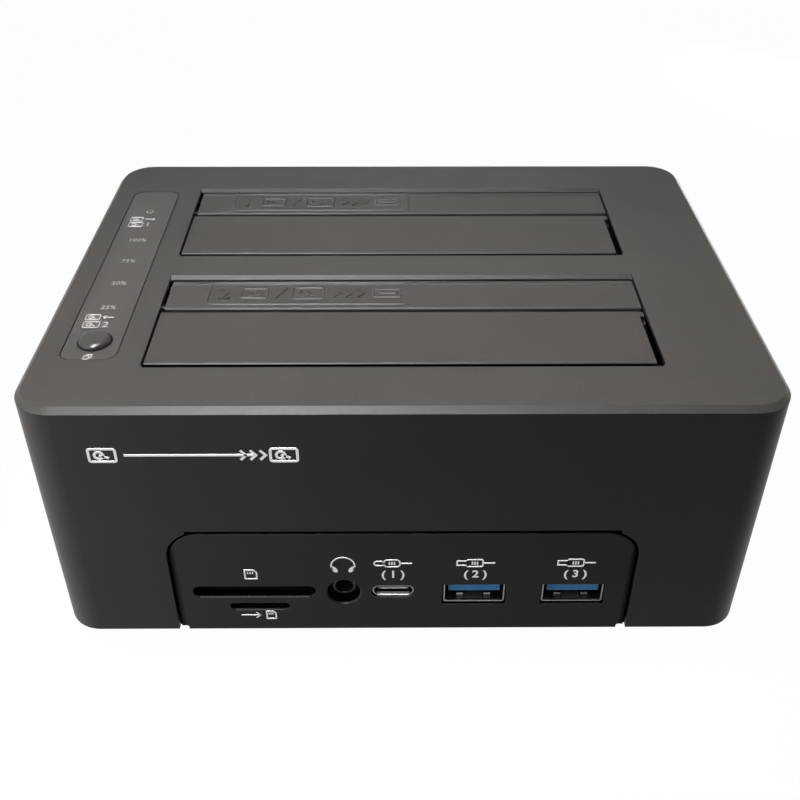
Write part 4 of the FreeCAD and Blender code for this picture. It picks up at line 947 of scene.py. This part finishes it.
class DUPLICATOR_OT_flap_frames(bpy.types.Operator):
    """Raise a frame with generic signs on each narrow flap"""

    bl_idname = "duplicator.flap_frames"
    bl_label = "Frames on the flaps"

    def execute(self, context):
        sizes = context.scene.duplicator_signs
        for bay, number in (("rear", "1"), ("front", "2")):
            node = f"{bay}_small_flap"
            low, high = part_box(node)
            x = low.x + sizes.frame_inset + sizes.frame_length / 2
            above = Vector((x, (low.y + high.y) / 2 + sizes.frame_shift, high.z + MM))
            at, _ = touch(node, above, -UP)
            relief = Relief(sizes.frame_rise, sizes.frame_line)
            draw_flap_frame(relief, sizes, number)
            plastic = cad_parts[node].material_slots[0].material
            relief.stand(f"{bay}_flap_frame", plane_at(at, RIGHT, BACK), f"{node}_body", plastic)
        return {"FINISHED"}


def draw_flap_frame(relief, sizes, number):
    """The number of the bay, two sizes of drive, and arrows to a drive's edge socket."""
    size = (sizes.frame_length, sizes.frame_width)
    relief.stroke(box_outline((0, 0), size, sizes.frame_corner), closed=True)
    mark = sizes.frame_width * 0.5
    left = -sizes.frame_length / 2
    figure, small, slash, large, heads, socket = [
        left + along * MM for along in (3.4, 10.0, 15.8, 21.8, 29.0, 39.2)
    ]
    relief.figures(number, (figure, 0), mark, 0.05 * MM)
    drive(relief, (small, 0), (mark * 1.3, mark * 0.86))
    lean = 1.2 * MM
    relief.stroke([(slash - lean, -mark / 2), (slash + lean, mark / 2)])
    drive(relief, (large, 0), (mark * 1.55, mark))
    chevrons(relief, (heads, 0), 2.6 * MM, (1.6 * MM, mark * 0.4))
    relief.stroke(box_outline((socket, 0), (mark * 1.35, mark * 0.7), 0.3 * MM, 3), closed=True)
    relief.stroke([(socket - mark * 0.4, 0), (socket + mark * 0.4, 0)])


class DUPLICATOR_OT_strip(bpy.types.Operator):
    """Finish the status strip and print its signs and scale"""

    bl_idname = "duplicator.strip"
    bl_label = "Status strip"

    def execute(self, context):
        look = context.scene.duplicator_housing
        sizes = context.scene.duplicator_signs
        plastic = moulded_plastic(
            "strip_plastic", look.strip, roughness=0.86, grain=0.8, depth=0.5, coat=0.25,
        )
        paint(plastic, "status_panel")
        low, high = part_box("status_panel")
        middle = Vector(((low.x + high.x) / 2, 0, high.z))
        relief = Relief(sizes.ink_rise, sizes.line * 0.62)
        draw_strip(relief)
        ink = printed_ink("strip_ink", sizes.strip_ink)
        relief.stand("strip_signs", plane_at(middle, RIGHT, BACK), "housing", ink)
        return {"FINISHED"}


def draw_strip(relief):
    """From the back to the front: power, a scale between the two drives, and copying."""
    power(relief, (0.1 * MM, 26.3 * MM), 0.75 * MM)
    line_gap, ends = 1.4 * MM, (-0.2 * MM, 2.1 * MM)
    for number, y, arrow_ends in (("1", 20.9 * MM, ends), ("2", -23.6 * MM, ends[::-1])):
        upper, lower = y + line_gap, y - line_gap
        drive(relief, (-2.4 * MM, upper), (3.0 * MM, 1.9 * MM))
        tail, tip = arrow_ends
        arrow(relief, (tail, upper), (tip, upper), 0.6 * MM)
        drive(relief, (-2.1 * MM, lower), (3.4 * MM, 2.1 * MM))
        relief.figures(number, (0.9 * MM, lower), 2.0 * MM, 0.02 * MM)
    for share, y in (("100%", 11.6), ("75%", 1.6), ("50%", -8.3), ("25%", -18.3)):
        relief.figures(share, (0, y * MM), 1.4 * MM)
    copies(relief, (0, -36.7 * MM), 1.1 * MM)


class DUPLICATOR_OT_clone_button(bpy.types.Operator):
    """Turn the domed clone button with its flange and stem"""

    bl_idname = "duplicator.clone_button"
    bl_label = "Clone button"

    def execute(self, context):
        sizes = context.scene.duplicator_fittings
        look = context.scene.duplicator_housing
        low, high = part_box("clone_button")
        middle = Vector(((low.x + high.x) / 2, (low.y + high.y) / 2, 0))
        at_rim = Vector((low.x + 0.2 * MM, middle.y, low.z))
        under, _ = touch("clone_button", at_rim, UP)
        form = bmesh.new()
        turned(form, button_profile(sizes, (high.x - low.x) / 2, low.z, under.z, high.z), sizes.facets)
        plastic = moulded_plastic(
            "button_plastic", shaded(look.strip, 0.7),
            roughness=0.72, grain=0.8, depth=0.5, edge=4 / 7, specular=0.2,
        )
        place = Matrix.Translation(middle)
        cap = make_piece("clone_cap", form, place, "clone_button_body", plastic, smooth=40)
        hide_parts("clone_button")
        paint(glossy_plastic("plunger_plastic", (0.02, 0.02, 0.02), 0.4), "switch_plunger")
        return {"FINISHED"}


def button_profile(sizes, flange, foot, ledge, top):
    """Half the outline of the button: stem, flange, rounded edge and domed face."""
    crown, edge = sizes.crown_radius, sizes.crown_edge
    face = crown - edge
    rim = top - sizes.crown_height
    profile = [(0, foot), (sizes.stem_radius, foot), (sizes.stem_radius, ledge)]
    profile += [(flange, ledge), (flange, ledge + sizes.flange), (crown, ledge + sizes.flange)]
    edge_steps, dome_steps = 8, 6
    for i in range(edge_steps + 1):
        turn = math.radians(90 * i / edge_steps)
        profile.append((face + edge * math.cos(turn), rim - edge + edge * math.sin(turn)))
    for i in range(1, dome_steps):
        radius = face * (1 - i / dome_steps)
        profile.append((radius, top - sizes.crown_height * (radius / face) ** 2))
    return [*profile, (0, top)]


class DUPLICATOR_OT_sockets(bpy.types.Operator):
    """Finish the data, audio and card sockets on the front and the data and power sockets behind"""

    bl_idname = "duplicator.sockets"
    bl_label = "Sockets"

    def execute(self, context):
        # painted shade: the socket plates are dark metal, with silver painted only where light reaches
        # their mouths
        silver, metal_in_shade = (0.66, 0.65, 0.63), (0.025, 0.025, 0.027)
        for side in ("left", "right"):
            node = f"type_a_shell_{side}"
            boxes = (mouth(node, 0.3 * MM, 0.29), *inside_type_a(node))
            paint(socket_metal(f"type_a_plate_{side}", silver, metal_in_shade, boxes), node)
        low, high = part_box("type_c_shell")
        # painted highlight: the sill of the type C mouth is painted brighter than the silver itself
        sill_end = Vector((high.x - MM, low.y + 0.8 * MM, low.z + 0.5 * MM))
        lit_sill = (low - MARGIN + MM * RIGHT, sill_end, 1.3)
        boxes = (mouth("type_c_shell", 0.25 * MM, 0.3), lit_sill)
        paint(socket_metal("type_c_plate", silver, metal_in_shade, boxes), "type_c_shell")
        low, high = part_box("type_b_shell")
        # painted shade inside the type B shell, lighter than at the front, and a lit rim at its mouth
        rim = (Vector((low.x, high.y - 0.5 * MM, low.z)) - MARGIN, high + MARGIN, 0.8)
        paint(socket_metal("type_b_plate", silver, shaded(metal_in_shade, 8), (rim,)), "type_b_shell")
        # painted shade: the card sockets deep in their slots are painted near black
        socket_shade = glossy_plastic("tray_plastic", (0.006, 0.006, 0.006), 0.55, 0.04)
        paint(socket_shade, "card_socket", "micro_card_socket")
        blue = glossy_plastic("blue_insulator", (0.05, 0.42, 0.95), 0.42, 0.45)
        paint(blue, *nodes_ending("_tongue_left", "_tongue_right", "type_b_tongue"))
        black = glossy_plastic("black_insulator", (0.012, 0.012, 0.013), 0.30, 0.35)
        paint(black, "type_c_tongue", "audio_jack", "power_jack", "switch_frame", "button_switch")
        paint(black, "ribbon_sockets", *nodes_ending("drive_socket_rear", "drive_socket_front"))
        paint(glossy_plastic("rocker_plastic", (0.02, 0.02, 0.022), 0.24), "power_rocker")
        gold = plated_metal("contact_gold", (0.72, 0.52, 0.22), 0.22, (1, 1, 0.2))
        paint(gold, "type_a_contacts", "power_jack_pin")
        paint(gold, *nodes_ending("contacts_rear", "contacts_front"))
        return {"FINISHED"}


class DUPLICATOR_OT_inside(bpy.types.Operator):
    """Finish the bay carrier, the cover, the feet and the electronics"""

    bl_idname = "duplicator.inside"
    bl_label = "Inside"

    def execute(self, context):
        look = context.scene.duplicator_housing
        black = moulded_plastic("inner_plastic", look.inside, roughness=1.25, grain=1.4)
        paint(black, "bay_carrier", "bottom_cover")
        paint(soft_rubber("foot_rubber", (0.020, 0.020, 0.021)), "rubber_feet")
        board = circuit_board("solder_mask", (0.004, 0.045, 0.018), (0.70, 0.48, 0.20))
        paint(board, "main_board", "indicator_board")
        paint(glossy_plastic("chip_resin", (0.018, 0.018, 0.019), 0.5, 0.4), "chips")
        paint(plated_metal("capacitor_can", (0.72, 0.73, 0.75), 0.25, (1, 1, 0.1)), "capacitors")
        paint(clear_resin("clear_plastic", (0.90, 0.92, 0.93)), "light_guide", "indicator_leds")
        paint(glossy_plastic("ribbon_jacket", (0.36, 0.36, 0.38), 0.42, 0.4, 0.6 * MM), "ribbon_cable")
        return {"FINISHED"}


class DUPLICATOR_OT_case_screws(bpy.types.Operator):
    """Make the four case screws with their cross recesses"""

    bl_idname = "duplicator.case_screws"
    bl_label = "Case screws"

    def execute(self, context):
        sizes = context.scene.duplicator_fittings
        low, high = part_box("case_screws")
        head = sizes.screw_head
        form = bmesh.new()
        for x in (low.x + head, high.x - head):
            for y in (low.y + head, high.y - head):
                screw = cross_screw(head, sizes.screw_shank, sizes.screw_head_height, high.z - low.z)
                screw.transform(Matrix.Translation((x, y, low.z)))
                mesh = bpy.data.meshes.new("screw")
                screw.to_mesh(mesh)
                screw.free()
                form.from_mesh(mesh)
                bpy.data.meshes.remove(mesh)
        zinc = plated_metal("zinc_plate", (0.50, 0.50, 0.52), 0.30, (1, 0.3, 1))
        screws = make_piece("cross_screws", form, Matrix.Identity(4), "housing", zinc, smooth=35)
        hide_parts("case_screws")
        return {"FINISHED"}


def cross_screw(head, shank, head_height, length):
    """A pan-head screw that stands on its head, with a cross recess in the underside."""
    form = bmesh.new()
    steps = 40
    arm, width, depth = head * 0.62, head * 0.2, head_height * 0.6
    corners = [Vector((width, width)), Vector((width, arm)), Vector((-width, arm))]
    cross = []
    for i in range(4):
        turn = Matrix.Rotation(math.radians(90 * i), 2)
        cross += [turn @ corner for corner in corners]
    rim = [form.verts.new((*p, 0)) for p in ring((0, 0), head * 0.86, steps)]
    opening = [form.verts.new((*p, 0)) for p in cross]
    edges = []
    for loop in (rim, opening):
        edges += [form.edges.new((a, b)) for a, b in zip(loop, loop[1:] + loop[:1])]
    bmesh.ops.triangle_fill(form, edges=edges, use_beauty=True)
    floor = [form.verts.new((*(p * 0.55), depth)) for p in cross]
    for i, vert in enumerate(opening):
        j = (i + 1) % len(opening)
        form.faces.new((vert, opening[j], floor[j], floor[i]))
    form.faces.new(floor)
    last = rim
    outside = [(head * 0.96, 0.1 * head), (head, 0.28 * head), (head, head_height)]
    outside += [(shank, head_height), (shank, length - shank), (shank * 0.25, length)]
    for radius, height in outside:
        circle = [form.verts.new((*p, height)) for p in ring((0, 0), radius, steps)]
        for i in range(steps):
            j = (i + 1) % steps
            form.faces.new((last[i], last[j], circle[j], circle[i]))
        last = circle
    form.faces.new(last)
    bmesh.ops.recalc_face_normals(form, faces=form.faces)
    return form


class DUPLICATOR_OT_front_signs(bpy.types.Operator):
    """Print generic signs over the front sockets and in the maker's place"""

    bl_idname = "duplicator.front_signs"
    bl_label = "Front signs"

    def execute(self, context):
        sizes = context.scene.duplicator_signs
        low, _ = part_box("front_port_panel")
        feet = 1.5 * MM
        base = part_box("rubber_feet")[0].z + feet
        place = plane_at(Vector((0, low.y, base)), RIGHT, UP)
        ink = printed_ink("front_ink", sizes.ink)
        relief = Relief(sizes.ink_rise, sizes.line)
        draw_socket_signs(relief)
        relief.stand("socket_signs", place, "housing", ink)
        wide = Relief(sizes.ink_rise, sizes.line * 1.7)
        draw_front_sign(wide)
        wide.stand("front_sign", place, "housing", ink)
        return {"FINISHED"}


def middle_x(node):
    """The middle of a node, across the object."""
    low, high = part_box(node)
    return (low.x + high.x) / 2


def draw_socket_signs(relief):
    """Over each socket, in heights over the base: plugs with numbers, a headset and cards."""
    plugs, numbers, size = 20.6 * MM, 17.35 * MM, 2.1 * MM
    data_sockets = ("type_c_shell", "type_a_shell_left", "type_a_shell_right")
    for i, node in enumerate(data_sockets):
        x = middle_x(node)
        plug(relief, (x, plugs), 8.0 * MM, size, rounded=1.0 if i == 0 else 0.0)
        relief.figures(f"( {i + 1} )", (x, numbers), size, 0.06 * MM)
    headset(relief, (middle_x("audio_jack"), 22.6 * MM), 5.3 * MM, 4.85 * MM)
    card(relief, (middle_x("card_socket") - 0.4 * MM, 17.4 * MM), (2.5 * MM, 2.7 * MM))
    x, height = middle_x("micro_card_socket"), 4.5 * MM
    card(relief, (x + 2.2 * MM, height), (2.0 * MM, 2.4 * MM))
    arrow(relief, (x - 4.4 * MM, height), (x - 0.2 * MM, height), 0.9 * MM)


def draw_front_sign(relief):
    """A drive that is copied onto another one, along the upper left of the front."""
    height, size = 50.85 * MM, (5.2 * MM, 3.2 * MM)
    drive(relief, (-58.2 * MM, height), size)
    relief.stroke([(-54.0 * MM, height), (-29.0 * MM, height)])
    chevrons(relief, (-30.4 * MM, height), 1.9 * MM, (1.1 * MM, 1.2 * MM))
    drive(relief, (-23.1 * MM, height), size)


class DUPLICATOR_OT_rear_signs(bpy.types.Operator):
    """Print signs over the rear sockets and on the two ends of the power rocker"""

    bl_idname = "duplicator.rear_signs"
    bl_label = "Rear signs"

    def execute(self, context):
        sizes = context.scene.duplicator_signs
        ink = printed_ink("rear_ink", sizes.ink)
        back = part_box("rear_port_panel")[1].y
        above = max(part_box(node)[1].z for node in ("type_b_shell", "power_jack")) + 2.2 * MM
        width = 3.4 * MM
        relief = Relief(sizes.ink_rise, sizes.line)
        computer(relief, (-middle_x("type_b_shell"), above), width)
        direct_current(relief, (-middle_x("power_jack"), above), width)
        relief.stand("rear_signs", plane_at(Vector((0, back, 0)), -RIGHT, UP), "housing", ink)
        low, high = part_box("power_rocker")
        quarter = (high.z - low.z) / 4
        half_bar, circle = 0.9 * MM, 0.7 * MM
        for name, height in (("on", low.z + quarter * 1.1), ("off", high.z - quarter * 1.25)):
            behind = Vector((middle_x("power_rocker"), high.y + MM, height))
            at, normal = touch("power_rocker", behind, -BACK)
            mark = Relief(sizes.ink_rise, sizes.line)
            if name == "on":
                mark.stroke([(0, -half_bar), (0, half_bar)])
            else:
                mark.stroke(ring((0, 0), circle), closed=True)
            up = normal.cross(-RIGHT).normalized()
            mark.stand(f"rocker_{name}_mark", plane_at(at, -RIGHT, up), "power_rocker_body", ink)
        return {"FINISHED"}


# Each lamp's place, the point it faces, and its width and height
LAMPS = {
    "overhead": ((-0.08, 0.0, 0.66), (-0.029, -0.062, 0.0635), (0.26, 0.20)),
    "glint": ((-0.10, -0.38, 0.56), (-0.029, -0.05, 0.0635), (0.08, 0.36)),
    "crest": ((-0.11, -0.02, 0.62), (-0.029, -0.05, 0.0635), (0.08, 0.12)),
    "side": ((-0.22, -0.13, 0.09), (-0.05, -0.05, 0.03), (0.08, 0.08)),
    "behind": ((0.26, 0.28, 0.05), (0.03, 0.02, 0.03), (0.2, 0.05)),
}


class DUPLICATOR_OT_studio(bpy.types.Operator):
    """Set up the floor, the lamps, the room and the camera"""

    bl_idname = "duplicator.studio"
    bl_label = "Studio"

    def execute(self, context):
        studio = context.scene.duplicator_studio
        add_floor()
        lamps = {name: add_lamp(name, *spot, getattr(studio, name)) for name, spot in LAMPS.items()}
        lamps["overhead"].data.spread = studio.beam
        lamps["glint"].visible_diffuse = lamps["crest"].visible_diffuse = False
        lamps["behind"].visible_camera = False
        add_room(studio.ambient)
        context.scene.camera = add_camera(studio)
        context.scene.view_settings.view_transform = "Standard"
        return {"FINISHED"}


def seen(shade):
    """1 for a ray from the camera, from a glossy surface or through glass, and 0 for other light."""
    rays = shade.node("ShaderNodeLightPath", output="Is Camera Ray")
    return rays + rays.output("Is Glossy Ray") + rays.output("Is Transmission Ray")


def add_floor():
    """A wide pale floor that looks white and throws little light back on the object."""
    form = bmesh.new()
    bmesh.ops.create_grid(form, x_segments=8, y_segments=8, size=3.0)
    mesh = bpy.data.meshes.new("floor")
    form.to_mesh(mesh)
    form.free()
    floor = bpy.data.objects.new("floor", mesh)
    bpy.context.scene.collection.objects.link(floor)
    floor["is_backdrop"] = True
    material, shade = new_shade("floor_paper")
    fibres = shade.noise(shade.place(), 2 * MM, detail=3.0)
    pale = shade.mix(fibres, (0.93, 0.93, 0.93), (0.96, 0.96, 0.96))
    colour = shade.mix(seen(shade), (0.02, 0.02, 0.02), pale)
    paper = shade.node("ShaderNodeBsdfDiffuse", sockets={"Color": colour})
    glow = shade.node("ShaderNodeEmission", sockets={"Color": (1.0, 1.0, 1.0), "Strength": 1.0})
    lit = shade.node("ShaderNodeMixShader", sockets={0: seen(shade) * 0.975, 1: paper, 2: glow})
    shade.node("ShaderNodeOutputMaterial", sockets={"Surface": lit})
    mesh.materials.append(material)


def add_lamp(name, at, toward, size, power):
    """A soft box that points at the object."""
    light = bpy.data.lights.new(name, "AREA")
    light.shape = "RECTANGLE"
    light.size, light.size_y = size
    light.energy = power
    lamp = bpy.data.objects.new(name, light)
    bpy.context.scene.collection.objects.link(lamp)
    turn = (Vector(toward) - Vector(at)).to_track_quat("-Z", "Y").to_matrix().to_4x4()
    lamp.matrix_world = Matrix.Translation(at) @ turn
    return lamp


def add_room(ambient):
    """A white room that lights the object at the ambient level."""
    world = bpy.data.worlds.new("room")
    world.use_nodes = True
    bpy.context.scene.world = world
    shade = Shade(world.node_tree)
    colour = shade.mix(seen(shade), (ambient, ambient, ambient), (1.0, 1.0, 1.0))
    light = shade.node("ShaderNodeBackground", sockets={"Color": colour, "Strength": 1.0})
    shade.node("ShaderNodeOutputWorld", sockets={"Surface": light})


def add_camera(studio):
    """A camera that stands at its place and is turned, tilted and rolled from looking down."""
    lens = bpy.data.cameras.new("camera")
    lens.lens = studio.lens
    lens.sensor_width = 36.0
    lens.shift_y = studio.lift
    lens.clip_start = 0.01
    camera = bpy.data.objects.new("camera", lens)
    bpy.context.scene.collection.objects.link(camera)
    turns = ((studio.turn, "Z"), (studio.tilt, "X"), (studio.roll, "Z"))
    turn, tilt, roll = [Matrix.Rotation(angle, 4, axis) for angle, axis in turns]
    camera.matrix_world = Matrix.Translation(studio.place) @ turn @ tilt @ roll
    return camera


OPERATORS = (
    DUPLICATOR_OT_studio,
    DUPLICATOR_OT_housing,
    DUPLICATOR_OT_flaps,
    DUPLICATOR_OT_flap_frames,
    DUPLICATOR_OT_strip,
    DUPLICATOR_OT_clone_button,
    DUPLICATOR_OT_sockets,
    DUPLICATOR_OT_inside,
    DUPLICATOR_OT_case_screws,
    DUPLICATOR_OT_front_signs,
    DUPLICATOR_OT_rear_signs,
)
SETTINGS = {
    "duplicator_housing": HousingFinish,
    "duplicator_signs": SignSizes,
    "duplicator_fittings": FittingSizes,
    "duplicator_studio": StudioSettings,
}


class DUPLICATOR_PT_parts(bpy.types.Panel):
    """Lists what can be made and its sizes and colours"""

    bl_label = "Drive duplicator"
    bl_idname = "DUPLICATOR_PT_parts"
    bl_space_type = "VIEW_3D"
    bl_region_type = "UI"
    bl_category = "Duplicator"

    def draw(self, context):
        for operator in OPERATORS:
            self.layout.operator(operator.bl_idname)
        for name, kind in SETTINGS.items():
            box = self.layout.box()
            for field in kind.__annotations__:
                box.prop(getattr(context.scene, name), field)


def register():
    for kind in (*SETTINGS.values(), *OPERATORS, DUPLICATOR_PT_parts):
        bpy.utils.register_class(kind)
    for name, kind in SETTINGS.items():
        setattr(bpy.types.Scene, name, PointerProperty(type=kind))


def unregister():
    for name in SETTINGS:
        delattr(bpy.types.Scene, name)
    for kind in (DUPLICATOR_PT_parts, *reversed(OPERATORS), *reversed(SETTINGS.values())):
        bpy.utils.unregister_class(kind)


def write_sizes():
    """Works out the box of the solids and the box of the dressed object as plain lists, for comparing
    the two.
    """
    boxes = {"cad": CAD_BOX, "visual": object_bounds()}
    plain = {name: [list(low), list(high)] for name, (low, high) in boxes.items()}


def main():
    register()
    for operator in OPERATORS:
        group, name = operator.bl_idname.split(".")
        getattr(getattr(bpy.ops, group), name)()
    write_sizes()


if __name__ == "__main__":
    main()
